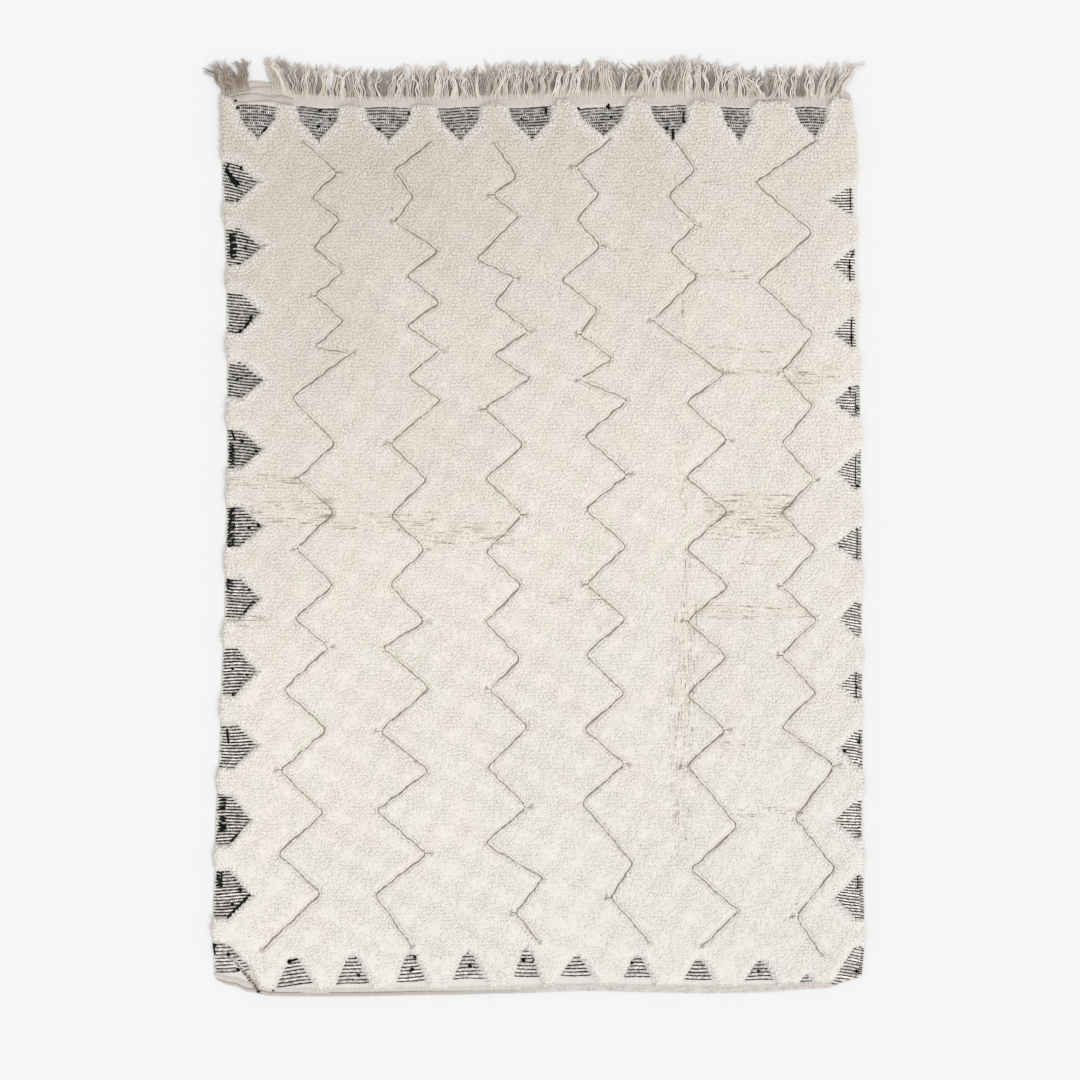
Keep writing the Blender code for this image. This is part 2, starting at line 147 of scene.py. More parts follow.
# How far the two ends lie past straight lines, both counted towards the fringe
END_ROWS = (
    # across, hem, fringed end
    (-0.85, 0.040, 0.008),
    (-0.80, 0.028, 0.028),
    (-0.76, 0.012, 0.036),
    (-0.70, 0.001, 0.029),
    (-0.64, 0.000, 0.004),
    (-0.50, 0.000, -0.005),
    (-0.25, 0.004, -0.005),
    (-0.08, 0.008, 0.001),
    (0.12, 0.014, 0.013),
    (0.45, 0.008, 0.013),
    (0.56, 0.010, -0.005),
    (0.74, 0.020, -0.005),
    (0.85, 0.048, 0.010),
)

# Rows of flat-woven triangles. "bend" moves the middle ones of a row towards its first one.
TRIANGLE_ROWS = (
    # edge, count, first, last, bend, first half base, last half base, first depth, last depth
    ("fringe", 2, -0.754, -0.591, 0.000, 0.054, 0.056, 0.085, 0.092),
    ("fringe", 4, -0.403, 0.174, 0.000, 0.061, 0.062, 0.091, 0.081),
    ("fringe", 3, 0.358, 0.740, 0.029, 0.047, 0.042, 0.088, 0.083),
    ("left", 5, 2.165, 1.455, 0.012, 0.053, 0.051, 0.096, 0.092),
    ("left", 6, 1.250, 0.269, 0.007, 0.055, 0.067, 0.094, 0.095),
    ("right", 7, 2.117, 1.005, 0.020, 0.046, 0.053, 0.072, 0.064),
    ("right", 4, 0.829, 0.259, 0.040, 0.045, 0.069, 0.058, 0.080),
    ("hem", 5, -0.637, -0.032, 0.000, 0.052, 0.046, 0.084, 0.100),
    ("hem", 4, 0.099, 0.579, 0.000, 0.051, 0.045, 0.084, 0.069),
    ("hem", 1, 0.702, 0.702, 0.000, 0.015, 0.015, 0.023, 0.023),
)

# Where a triangle's sides turn in more sharply, as shares of its half base and of its depth
SHOULDER_ROWS = (
    # edge, half width, depth
    ("fringe", 0.84, 0.43),
    ("left", 0.97, 0.41),
    ("right", 0.80, 0.32),
    ("hem", 0.26, 0.90),
)

# The bare corners beside the hem, as chains of (across, along) places
CORNER_CHAINS = (
    ((-0.88, 0.137), (-0.812, 0.130), (-0.757, 0.076), (-0.740, 0.030), (-0.724, -0.03), (-0.88, -0.03)),
    ((0.88, 0.128), (0.822, 0.112), (0.770, 0.012), (0.790, -0.030), (0.88, -0.03)),
)

# Stretches of the six grooves, from the fringed end down. Turns fall left and right in turn. A scratch
# program fitted these rows and the grooves' ends to turns that were read by eye off the photo.
GROOVE_ROWS = (
    # line, upper end, lower end, turns, left turns, right turns
    (1, 2.225, 1.696, 8, -0.611, -0.537),
    (1, 1.768, 1.529, 2, -0.678, -0.518),
    (1, 1.520, 0.957, 6, -0.663, -0.557),
    (1, 0.983, 0.218, 7, -0.683, -0.569),
    (2, 2.224, 2.029, 3, -0.392, -0.337),
    (2, 2.013, 1.552, 7, -0.363, -0.277),
    (2, 1.515, 0.954, 6, -0.414, -0.313),
    (2, 0.982, 0.220, 7, -0.426, -0.297),
    (3, 2.209, 2.046, 3, -0.131, -0.056),
    (3, 1.991, 1.879, 2, -0.177, -0.073),
    (3, 1.872, 1.606, 4, -0.130, -0.039),
    (3, 1.612, 0.853, 8, -0.158, -0.055),
    (3, 0.870, 0.353, 5, -0.140, -0.036),
    (3, 0.360, 0.183, 2, -0.059, 0.007),
    (4, 2.241, 1.957, 4, 0.094, 0.162),
    (4, 1.948, 1.784, 2, 0.050, 0.149),
    (4, 1.787, 1.611, 3, 0.099, 0.185),
    (4, 1.633, 0.471, 12, 0.109, 0.223),
    (4, 0.406, 0.213, 2, 0.189, 0.242),
    (5, 2.231, 1.875, 5, 0.340, 0.419),
    (5, 1.870, 1.583, 2, 0.294, 0.485),
    (5, 1.624, 0.566, 11, 0.381, 0.490),
    (5, 0.512, 0.168, 3, 0.393, 0.521),
    (6, 2.232, 1.695, 4, 0.577, 0.730),
    (6, 1.707, 0.672, 11, 0.635, 0.723),
    (6, 0.678, 0.143, 4, 0.666, 0.775),
)
GROOVE_ENDS = (
    # line, start across, start along, end across, end along
    (1, -0.631, 2.271, -0.722, 0.124),
    (2, -0.291, 2.268, -0.329, 0.134),
    (3, -0.120, 2.268, 0.001, 0.143),
    (4, 0.191, 2.276, 0.287, 0.143),
    (5, 0.362, 2.276, 0.425, 0.133),
    (6, 0.740, 2.274, 0.737, 0.103),
)

# How far the pile leans out over the plain strip between the triangles of the fringed end
PEAK_ROWS = (
    # across, rise
    (-0.86, 0.026),
    (-0.82, 0.020),
    (-0.67, 0.003),
    (-0.50, 0.006),
    (-0.31, 0.009),
    (-0.115, 0.010),
    (0.08, 0.016),
    (0.266, 0.020),
    (0.45, 0.012),
    (0.65, 0.018),
    (0.80, 0.024),
    (0.86, 0.014),
)

# Places where the pile has parted across the rug, with fine cracks and warmer wool. They were read by eye
# off the photo, and a scratch program turned their edges into metres on the cloth.
PARTED_ROWS = (
    # left end, right end, upper edge, lower edge, warmth
    (0.449, 0.513, 2.167, 2.159, 0.5),
    (0.187, 0.286, 1.988, 1.980, 0.4),
    (0.425, 0.548, 1.921, 1.910, 0.5),
    (0.460, 0.633, 1.724, 1.715, 0.5),
    (0.490, 0.605, 1.670, 1.654, 0.7),
    (0.623, 0.778, 1.667, 1.636, 1.0),
    (-0.837, -0.658, 1.381, 1.351, 0.4),
    (-0.764, -0.564, 1.318, 1.256, 0.6),
    (-0.548, -0.300, 1.282, 1.240, 0.5),
    (-0.300, -0.099, 1.250, 1.208, 0.9),
    (0.449, 0.647, 1.328, 1.220, 0.8),
    (0.540, 0.628, 1.152, 1.146, 0.5),
    (0.011, 0.171, 1.059, 1.051, 0.5),
    (0.430, 0.692, 1.034, 1.010, 0.8),
    (-0.810, -0.722, 1.007, 0.985, 0.4),
    (0.495, 0.690, 0.673, 0.658, 0.5),
    (0.535, 0.674, 0.497, 0.481, 0.5),
)

# The old fold that runs down the rug: where it is strong
FOLD_ACROSS = 0.374
FOLD_ROWS = (
    # upper end, lower end, half width, strength
    (1.86, 1.72, 0.010, 0.35),
    (1.52, 1.30, 0.016, 0.45),
    (1.20, 1.06, 0.014, 0.40),
    (1.02, 0.72, 0.030, 1.00),
    (0.66, 0.40, 0.024, 0.80),
)

# Stripes of the flat-woven triangles, a row for each of TRIANGLE_ROWS and then for the two corners.
# Shades multiply the yarns' colours. "rise" is how steeply the stripes climb to the right, for the
# first and the last triangle of a row. "lowest" is where the lowest black stripe lies, 0 for none.
STRIPE_ROWS = (
    # spacing, black's share, black's shade, cream's shade, first rise, last rise, first lowest, last lowest
    (0.0078, 0.55, 2.0, 0.86, -0.06, -0.06, 0.0, 0.0),
    (0.0078, 0.53, 2.0, 0.88, 0.00, 0.08, 0.0, 0.0),
    (0.0078, 0.53, 2.0, 0.92, 0.00, 0.00, 0.0, 0.0),
    (0.0082, 0.58, 0.9, 1.24, -0.20, -0.06, 0.0, 0.0),
    (0.0082, 0.56, 0.75, 1.42, -0.03, 0.04, 0.0, 0.0),
    (0.0075, 0.45, 0.8, 1.62, 0.02, -0.22, 0.0, 0.0),
    (0.0078, 0.45, 0.75, 1.66, -0.10, -0.08, 0.0, 0.0),
    (0.0095, 0.37, 0.75, 1.26, 0.11, 0.00, 0.031, 0.048),
    (0.0094, 0.37, 0.75, 1.26, 0.00, 0.00, 0.047, 0.037),
    (0.0080, 0.34, 1.5, 1.30, 0.03, 0.03, 0.024, 0.024),
    (0.0094, 0.40, 1.4, 1.20, 0.09, 0.09, 0.050, 0.050),
    (0.0084, 0.38, 1.0, 1.40, -0.16, -0.16, 0.0, 0.0),
)

# Tufts of the fringe, across the fringed end
TUFT_ROWS = (
    # from, to, shift of the tip, length, shade
    (-0.848, -0.806, -0.036, 0.084, 0.50),
    (-0.842, -0.800, -0.046, 0.074, 0.26),
    (-0.830, -0.790, -0.038, 0.064, 0.20),
    (-0.812, -0.780, -0.054, 0.060, 0.28),
    (-0.802, -0.774, -0.010, 0.084, 0.56),
    (-0.798, -0.778, -0.006, 0.074, 0.34),
    (-0.712, -0.668, -0.040, 0.072, 0.84),
    (-0.690, -0.652, -0.028, 0.066, 0.92),
    (-0.650, -0.596, -0.004, 0.083, 1.00),
    (-0.590, -0.520, 0.012, 0.084, 1.00),
    (-0.530, -0.474, -0.012, 0.080, 1.00),
    (-0.470, -0.416, -0.010, 0.064, 1.00),
    (-0.412, -0.346, 0.010, 0.084, 1.00),
    (-0.342, -0.290, -0.008, 0.092, 1.00),
    (-0.296, -0.240, 0.012, 0.096, 1.00),
    (-0.236, -0.146, -0.010, 0.076, 1.00),
    (-0.142, -0.084, 0.016, 0.094, 1.00),
    (-0.090, -0.026, -0.006, 0.096, 1.00),
    (-0.022, 0.040, 0.012, 0.088, 1.00),
    (0.040, 0.088, 0.030, 0.074, 1.00),
    (0.084, 0.132, 0.022, 0.078, 1.00),
    (0.132, 0.180, 0.008, 0.088, 1.00),
    (0.178, 0.226, -0.014, 0.082, 1.00),
    (0.226, 0.270, 0.020, 0.068, 1.00),
    (0.270, 0.352, 0.010, 0.083, 1.00),
    (0.350, 0.410, 0.014, 0.096, 1.00),
    (0.410, 0.466, -0.008, 0.094, 1.00),
    (0.468, 0.520, 0.010, 0.092, 1.00),
    (0.516, 0.566, -0.006, 0.082, 1.00),
    (0.568, 0.624, -0.016, 0.070, 1.00),
    (0.622, 0.704, 0.006, 0.088, 1.00),
    (0.728, 0.756, 0.006, 0.088, 1.00),
    (0.752, 0.792, 0.030, 0.090, 1.00),
    (0.788, 0.826, 0.052, 0.084, 1.00),
)

# Small openings in the fringe, which its yarns go around
OPENING_ROWS = (
    # across, past the cloth's end, half width, half height
    (-0.554, 0.040, 0.0095, 0.019),
    (-0.424, 0.051, 0.0045, 0.012),
    (-0.343, 0.062, 0.0080, 0.015),
    (-0.046, 0.056, 0.0060, 0.008),
    (0.470, 0.057, 0.0045, 0.010),
    (0.600, 0.060, 0.0050, 0.012),
    (0.714, 0.072, 0.0085, 0.018),
)

# Warp yarns that run in bows over the raised left corner of the fringed end
BOWS = 6
BOW_ACROSS = (-0.846, -0.652)
BOW_SPACING = 0.0056
# Every other bow is painted darker, as painted shade between the bows
BOW_SHADES = (0.80, 0.46, 0.76, 0.50, 0.70, 0.56)

# The crease that crosses the left corner beside the hem
CREASE_PLACES = ((-0.790, 0.075), (-0.762, 0.045), (-0.735, 0.010), (-0.730, -0.010))

# Small black knots tied into the triangles. Here and in the next two tables, places were read by eye off
# the photo in pixels, and for most rows a scratch program turned them into metres on the cloth.
KNOT_ROWS = (
    # across, along, size
    (-0.813, 2.373, 0.7), (-0.808, 2.358, 1.1), (-0.584, 2.356, 1.0), (-0.590, 2.313, 1.2),
    (-0.558, 2.332, 0.8), (-0.586, 2.276, 0.8), (-0.344, 2.349, 1.0), (-0.388, 2.332, 0.6),
    (-0.427, 2.306, 1.1), (-0.422, 2.279, 0.8), (-0.269, 2.338, 0.9), (-0.231, 2.300, 0.9),
    (-0.043, 2.334, 0.7), (0.025, 2.352, 0.8), (-0.031, 2.284, 0.8), (0.112, 2.358, 0.8),
    (0.193, 2.363, 1.0), (0.199, 2.336, 0.9), (0.394, 2.326, 1.0), (0.346, 2.308, 1.0), (0.360, 2.281, 0.9),
    (0.511, 2.316, 0.8), (0.578, 2.330, 0.7), (0.538, 2.292, 0.5), (-0.798, 2.204, 1.0),
    (-0.810, 2.162, 1.5), (-0.796, 1.989, 1.0), (-0.817, 1.947, 1.0), (-0.784, 1.806, 1.1),
    (-0.792, 1.790, 1.0), (-0.813, 1.769, 1.0), (-0.822, 1.641, 0.8), (-0.811, 1.644, 0.7),
    (-0.841, 1.623, 0.6), (-0.810, 1.477, 1.1), (-0.772, 1.450, 1.1), (-0.764, 1.254, 1.0),
    (-0.788, 1.246, 1.0), (-0.785, 1.081, 0.9), (-0.774, 1.049, 1.0), (-0.817, 0.802, 1.1),
    (-0.782, 0.855, 0.7), (-0.822, 0.869, 0.7), (-0.793, 0.480, 0.8), (-0.831, 0.443, 1.2),
    (-0.807, 0.414, 0.9), (-0.781, 0.283, 1.4), (-0.800, 0.241, 1.1), (-0.843, 0.122, 1.0),
    (-0.810, 0.099, 1.2), (-0.786, 0.057, 1.2), (0.827, 1.939, 1.0), (0.792, 1.928, 0.7),
    (0.831, 1.753, 1.1), (0.768, 1.594, 1.0), (0.822, 1.618, 0.8), (0.799, 1.564, 1.0), (0.842, 1.564, 0.8),
    (0.841, 1.453, 1.0), (0.840, 1.357, 1.0), (0.785, 1.193, 0.9), (0.836, 1.243, 0.6), (0.834, 0.821, 0.9),
    (0.839, 0.677, 0.9), (0.802, 0.653, 1.0), (0.832, 0.526, 0.9), (0.832, 0.286, 0.8), (0.835, 0.030, 1.1),
    (0.826, 0.116, 0.8), (-0.651, 0.093, 1.4), (-0.471, 0.057, 1.1), (-0.476, 0.104, 0.7),
    (-0.322, 0.105, 0.8), (-0.331, 0.070, 1.2), (-0.179, 0.077, 1.2), (-0.039, 0.093, 1.3),
    (0.244, 0.083, 1.0), (0.576, 0.062, 0.8), (-0.696, 0.015, 0.6), (-0.735, 0.006, 0.8),
    (-0.744, 0.020, 0.7), (-0.757, 0.034, 0.7), (-0.770, 0.050, 0.6), (-0.779, 0.064, 0.6),
    (-0.739, 0.013, 0.5), (-0.750, 0.028, 0.5), (-0.763, 0.041, 0.5), (-0.773, 0.057, 0.5),
    (-0.766, 0.062, 0.5), (-0.757, 0.049, 0.4),
)

# Loose floats of black yarn over the triangles, and whipped edges
FLOAT_ROWS = (
    # across and along where it starts, across and along where it ends, thickness
    (-0.838, 2.199, -0.825, 2.178, 0.0093), (-0.825, 2.178, -0.807, 2.159, 0.0120),
    (-0.814, 2.119, -0.804, 2.106, 0.0032), (-0.830, 2.215, -0.838, 2.197, 0.0040),
    (-0.781, 1.809, -0.805, 1.774, 0.0048), (-0.839, 1.506, -0.829, 1.477, 0.0042),
    (-0.847, 1.503, -0.839, 1.506, 0.0040), (-0.779, 1.044, -0.800, 1.017, 0.0035),
    (-0.846, 1.110, -0.827, 1.105, 0.0042), (-0.781, 0.821, -0.809, 0.799, 0.0037),
    (-0.833, 0.712, -0.826, 0.672, 0.0048), (-0.777, 0.629, -0.803, 0.608, 0.0042),
    (-0.803, 0.608, -0.840, 0.609, 0.0032), (-0.784, 0.435, -0.807, 0.414, 0.0037),
    (-0.753, 0.273, -0.813, 0.202, 0.0058), (-0.844, 0.289, -0.828, 0.298, 0.0037),
    (-0.843, 0.267, -0.830, 0.270, 0.0037), (-0.848, 0.130, -0.845, 0.094, 0.0037),
    (0.833, 2.151, 0.832, 2.088, 0.0024), (0.841, 1.987, 0.829, 1.963, 0.0025),
    (0.828, 1.963, 0.828, 1.896, 0.0029), (0.832, 1.803, 0.831, 1.724, 0.0027),
    (0.824, 1.628, 0.823, 1.602, 0.0024), (0.838, 1.607, 0.837, 1.548, 0.0019),
    (0.831, 1.644, 0.841, 1.639, 0.0016), (0.841, 1.639, 0.831, 1.633, 0.0016),
    (0.838, 1.450, 0.836, 1.355, 0.0019), (0.838, 1.251, 0.836, 1.153, 0.0019),
    (0.833, 0.858, 0.834, 0.791, 0.0025), (0.842, 0.696, 0.841, 0.669, 0.0029),
    (0.831, 0.319, 0.833, 0.288, 0.0024), (0.823, 0.123, 0.825, 0.107, 0.0024),
    (0.785, 1.193, 0.801, 1.195, 0.0022), (-0.651, 0.093, -0.627, 0.100, 0.0042),
    (-0.331, 0.070, -0.333, 0.062, 0.0042), (-0.015, 0.121, -0.011, 0.110, 0.0029),
    (-0.011, 0.110, -0.016, 0.102, 0.0029), (-0.015, 0.100, -0.012, 0.091, 0.0029),
    (-0.012, 0.091, -0.020, 0.086, 0.0027), (0.709, 0.048, 0.711, 0.083, 0.0021),
    (0.711, 0.083, 0.704, 0.089, 0.0019), (0.711, 0.083, 0.716, 0.089, 0.0019),
    (0.017, 0.046, 0.025, 0.040, 0.0027), (-0.325, 0.108, -0.320, 0.094, 0.0032),
    (-0.461, 0.093, -0.466, 0.082, 0.0027), (0.195, 2.370, 0.195, 2.356, 0.0042),
    (0.363, 2.308, 0.363, 2.281, 0.0048), (0.112, 2.361, 0.114, 2.354, 0.0040),
    (0.026, 2.365, 0.025, 2.344, 0.0040), (0.397, 2.349, 0.394, 2.323, 0.0037),
    (-0.722, 2.310, -0.741, 2.299, 0.0048),
)

# Bands of short slanting floats beside the two sides, one float for each stripe
BAND_ROWS = (
    # across, half width, upper end, lower end, rise to the right, thickness
    (-0.828, 0.0093, 2.029, 1.963, 0.0040, 0.0068),
    (-0.838, 0.0085, 1.471, 1.416, -0.0093, 0.0041),
    (-0.836, 0.0093, 1.299, 1.195, 0.0120, 0.0041),
    (-0.837, 0.0085, 1.105, 1.070, -0.0080, 0.0039),
    (-0.833, 0.0096, 0.526, 0.494, 0.0040, 0.0046),
    (-0.831, 0.0096, 0.478, 0.435, -0.0040, 0.0049),
    (-0.836, 0.0080, 0.330, 0.287, -0.0080, 0.0037),
    (0.844, 0.0052, 1.628, 1.538, -0.0016, 0.0019),
    (0.845, 0.0052, 1.458, 1.352, -0.0013, 0.0022),
    (0.844, 0.0052, 1.251, 1.153, -0.0008, 0.0020),
    (0.842, 0.0052, 1.046, 0.964, -0.0021, 0.0021),
    (0.844, 0.0052, 0.858, 0.791, -0.0016, 0.0021),
    (0.844, 0.0052, 0.709, 0.605, -0.0016, 0.0022),
    (0.839, 0.0052, 0.528, 0.413, -0.0032, 0.0021),
    (0.842, 0.0052, 0.313, 0.196, -0.0027, 0.0020),
    (0.845, 0.0052, 0.112, 0.017, -0.0021, 0.0021),
)

# How far apart the ground's warps and the stripes' beads lie
WARP_SPACING = 0.0052
BEAD_SPACING = 0.0053

# The studio. The camera's view is VIEW_WIDTH wide at the top of the pile.
SKY_STRENGTH = 0.895
SUN_STRENGTH = 1.0
SUN_FROM = (0.55, -0.50, 1.0)
LENS = 85.0
SENSOR = 36.0
VIEW_MIDDLE = (0.0053, -0.0432)
VIEW_WIDTH = 2.868
FLOOR_REACH = 30.0
FLOOR_LEVEL = -0.0006


def eased(at, rows, column):
    """A table's column read between its rows, easing in and out of each row's value."""
    places = np.array([row[0] for row in rows])
    values = np.array([row[column] for row in rows])
    step = np.clip(np.searchsorted(places, at) - 1, 0, len(places) - 2)
    share = ramp((at - places[step]) / (places[step + 1] - places[step]))
    return values[step] + share * (values[step + 1] - values[step])


def ramp(share):
    """0 below 0, 1 above 1 and a soft S between them: 3s^2 - 2s^3."""
    share = np.clip(share, 0.0, 1.0)
    return share * share * (3.0 - 2.0 * share)


def crossed_waves(places, waves):
    """Soft lumps where two sets of waves cross: sin(a . p) sin(b . p)."""
    first, second = np.array(waves)
    return np.sin(places @ first) * np.sin(places @ second)


def lying(across, along):
    """Where a place of the cloth lies: across stretched between its sides, along shifted by its ends."""
    left = eased(along, SIDE_ROWS, 1)
    right = eased(along, SIDE_ROWS, 2)
    x = left + (across / CLOTH_WIDTH + 0.5) * (right - left)
    far = np.clip(along / CLOTH_LENGTH, 0.0, 1.0)
    hem = eased(across, END_ROWS, 1) * (1.0 - far) ** HEM_FADE
    fringed = eased(across, END_ROWS, 2) * far**FRINGE_FADE
    return x, HEM_Y + along + hem + fringed


def woven_triangles():
    """The bare triangles as (row of its table, share of the way along that row, chain of corners)."""
    shoulders = {edge: (half, depth) for edge, half, depth in SHOULDER_ROWS}
    found = []
    for row, values in enumerate(TRIANGLE_ROWS):
        edge, count, first, last, bend, base_a, base_b, depth_a, depth_b = values
        wide, deep = shoulders[edge]
        for i in range(count):
            share = i / max(count - 1, 1)
            place = first + (last - first) * (share - bend * 4.0 * share * (1.0 - share))
            waver = UNEVEN_TRIANGLE * math.sin(TRIANGLE_WAVES * i + row)
            half = base_a + (base_b - base_a) * share + waver
            depth = depth_a + (depth_b - depth_a) * share - waver
            spread = place + half * np.array([-1.0, -wide, 0.0, wide, 1.0])
            inward = depth * np.array([0.0, deep, 1.0, deep, 0.0])
            if edge in ("left", "right"):
                inward[[0, -1]] = -PAST_SIDE
                side = -1.0 if edge == "left" else 1.0
                corners = np.column_stack([side * (HALF_WIDTH - inward), spread])
            elif edge == "hem":
                corners = np.column_stack([spread, PILE_FROM + inward])
            else:
                corners = np.column_stack([spread, PILE_TO - inward])
            found.append((row, share, corners))
    first = len(TRIANGLE_ROWS)
    return found + [(first + k, 0.0, np.array(corners)) for k, corners in enumerate(CORNER_CHAINS)]


def groove_lines():
    """The six grooves, each as (across, along) places at its turns."""
    lines = []
    for line, start_across, start_along, end_across, end_along in GROOVE_ENDS:
        places = [(start_across, start_along)]
        turn = line
        for number, upper, lower, turns, left, right in GROOVE_ROWS:
            if number != line:
                continue
            for k in range(turns):
                along = upper - (upper - lower) * (k + 0.5) / turns
                across = right if turn % 2 else left
                waver = UNEVEN_TURN * math.sin(TURN_WAVES[0] * turn + line)
                drift = UNEVEN_TURN * math.sin(TURN_WAVES[1] * turn + 2.0 * line)
                places.append((across + waver, along + drift))
                turn += 1
        places.append((end_across, end_along))
        lines.append(np.array(places))
    return lines


def rounded_turns(line, radius=0.012):
    """A bent line with each turn replaced by three places on a parabola between its two sides."""
    runs = np.diff(line, axis=0)
    lengths = np.linalg.norm(runs, axis=1, keepdims=True)
    runs = runs / lengths
    cut = np.minimum(radius, 0.4 * np.minimum(lengths[:-1], lengths[1:]))
    before = line[1:-1] - cut * runs[:-1]
    after = line[1:-1] + cut * runs[1:]
    top = 0.25 * before + 0.5 * line[1:-1] + 0.25 * after
    turns = np.stack([before, top, after], axis=1).reshape(-1, 2)
    return np.concatenate([line[:1], turns, line[-1:]])


def turn_spurs(lines):
    """Short cuts that run on outwards past some of the grooves' turns, longest where a slow wave peaks."""
    spurs = []
    for number, line in enumerate(lines):
        for k in range(1, len(line) - 1):
            outwards = line[k] - 0.5 * (line[k - 1] + line[k + 1])
            outwards = outwards / np.linalg.norm(outwards)
            reach = SPUR_LENGTH * math.sin(2.3 * k + 1.7 * number)
            if reach > 0.6 * SPUR_LENGTH:
                spurs.append(np.array([line[k] - 0.006 * outwards, line[k] + reach * outwards]))
    return spurs


def outside_triangles(places, triangles):
    """How far each place lies outside the nearest bare triangle, below 0 inside one."""
    nearest = np.full(len(places), np.inf)
    for corners in triangles:
        edges = np.roll(corners, -1, axis=0) - corners
        area = np.cross(edges[0], corners[2] - corners[0])
        outward = np.stack([edges[:, 1], -edges[:, 0]], axis=1) * np.sign(area)
        outward /= np.linalg.norm(outward, axis=1, keepdims=True)
        distance = np.max([(places - c) @ n for c, n in zip(corners, outward)], axis=0)
        nearest = np.minimum(nearest, distance)
    return nearest


def from_lines(places, lines):
    """How far each place lies from the nearest of several bent lines."""
    nearest = np.full(len(places), np.inf)
    for line in lines:
        for a, b in zip(line[:-1], line[1:]):
            run = b - a
            share = np.clip((places - a) @ run / (run @ run), 0.0, 1.0)
            distance = np.linalg.norm(places - a - share[:, None] * run, axis=1)
            nearest = np.minimum(nearest, distance)
    return nearest


def past_triangles(at, axis, chosen):
    """How far places along an edge lie past the spans of its triangles, below 0 within one."""
    past = np.full(np.shape(at), np.inf)
    for corners in chosen:
        low, high = sorted(corners[[0, -1], axis])
        past = np.minimum(past, np.abs(at - 0.5 * (low + high)) - 0.5 * (high - low))
    return past


def side_bulge(along, side, triangles):
    """How far the pile swells past the cloth's side between the triangles of that side."""
    chosen = [c for c in triangles if min(side * c[0, 0], side * c[-1, 0]) > HALF_WIDTH]
    inside = past_triangles(along, 1, chosen)
    first, second = RIM_LOCK_WAVES
    locks = RIM_LOCK * np.sin(first * along + side) * np.sin(second * along)
    return SIDE_BULGE * ramp(inside / SIDE_BULGE_RUN) + locks * ramp(inside / RIM_LOCK_RUN)


def bulge_at(places, triangles):
    """side_bulge() of whichever side each place is nearer to."""
    left, right = (side_bulge(places[:, 1], side, triangles) for side in (-1.0, 1.0))
    return np.where(places[:, 0] < 0.0, left, right)


def end_rise(across, triangles):
    """How far the pile leans over the plain strip: the table's rise, fading to 0 at each triangle."""
    chosen = [c for c in triangles if np.abs(c[[0, -1], 1] - PILE_TO).sum() < 1e-6]
    return eased(across, PEAK_ROWS, 1) * ramp(past_triangles(across, 0, chosen) / 0.024)


def rim_share(inside):
    """The share of its full height that the pile has beside its edge: 0.64 at the edge, 1 past 16 mm."""
    return 0.64 + 0.36 * ramp(inside / 0.016)


def beyond(at, low, high):
    """How far a place lies outside a stretch, 0 within it."""
    return np.maximum(np.maximum(low - at, at - high), 0.0)


def wavered(places):
    """Places moved by a few millimetres in crossing waves, so that lines through them waver."""
    x, y = places[:, 0], places[:, 1]
    shift_x = 0.0016 * np.sin(131.0 * y + 3.0 * np.sin(31.0 * x)) + 0.0006 * np.sin(397.0 * y + 40.0 * x)
    shift_y = 0.0015 * np.sin(119.0 * x + 2.0 * np.sin(37.0 * y)) + 0.0006 * np.sin(353.0 * x - 50.0 * y)
    return places + np.column_stack([shift_x, shift_y])


class Plan:
    """What grows where on the cloth: distances to the grooves, triangles and edges."""

    def __init__(self):
        self.bare = woven_triangles()
        self.triangles = [corners for _, _, corners in self.bare]
        lines = groove_lines()
        self.grooves = [rounded_turns(line) for line in lines] + turn_spurs(lines)

    def in_pile(self, places):
        """Distance inside the pile's nearest edge, below 0 on bare ground."""
        across, along = places[:, 0], places[:, 1]
        inside = outside_triangles(places, self.triangles)
        inside = np.minimum(inside, HALF_WIDTH + bulge_at(places, self.triangles) - np.abs(across))
        inside = np.minimum(inside, along - PILE_LOW)
        return np.minimum(inside, PILE_TO + end_rise(across, self.triangles) - along)

    def lumps(self, places):
        """How far the pile's top rises and falls in soft lumps and wide swells."""
        lumps = LUMP_HEIGHT * crossed_waves(places, LUMP_WAVES)
        return lumps + SWELL_HEIGHT * crossed_waves(places, SWELL_WAVES)

    def from_groove(self, places):
        """How far each place lies from the nearest groove, whose line wavers."""
        return from_lines(wavered(places), self.grooves)

    def strength(self, places):
        """How open a groove is, from about 0.6 to 1, in slow waves along it."""
        return 0.80 + 0.20 * crossed_waves(places, ((37.0, 23.0), (-19.0, 41.0)))

    def parted(self, places):
        """How far the pile has parted across the rug: a stretch's warmth, fading at its edges."""
        parted = np.zeros(len(places))
        for left, right, upper, lower, strength in PARTED_ROWS:
            sideways = beyond(places[:, 0], left, right) / 0.020
            off = beyond(places[:, 1], lower, upper) / 0.008
            parted = np.maximum(parted, strength * np.exp(-(sideways**2) - off**2))
        return parted

    def folded(self, places):
        """How far the pile has parted along the old fold."""
        folded = np.zeros(len(places))
        off = np.abs(places[:, 0] - FOLD_ACROSS - 0.006 * np.sin(7.0 * places[:, 1]))
        for upper, lower, half, strength in FOLD_ROWS:
            past = beyond(places[:, 1], lower, upper) / 0.030
            folded = np.maximum(folded, strength * np.exp(-((off / half) ** 2) - past**2))
        return folded

    def soil(self, places):
        """How brown the wool is: painted shade beside the left corner's crease and, less, soil in blots along
        the hem.
        """
        crease = from_lines(places, [np.array(CREASE_PLACES)])
        blots = crossed_waves(places, ((310.0, 90.0), (-120.0, 270.0)))
        beside = 0.75 * np.exp(-((crease / 0.016) ** 2)) * (1.0 + 0.6 * blots)
        hem = 0.22 * ramp((0.034 - places[:, 1]) / 0.010) * ramp((places[:, 0] + 0.12) / 0.06) * (1.0 + blots)
        return np.clip(np.maximum(beside, hem), 0.0, 1.0)


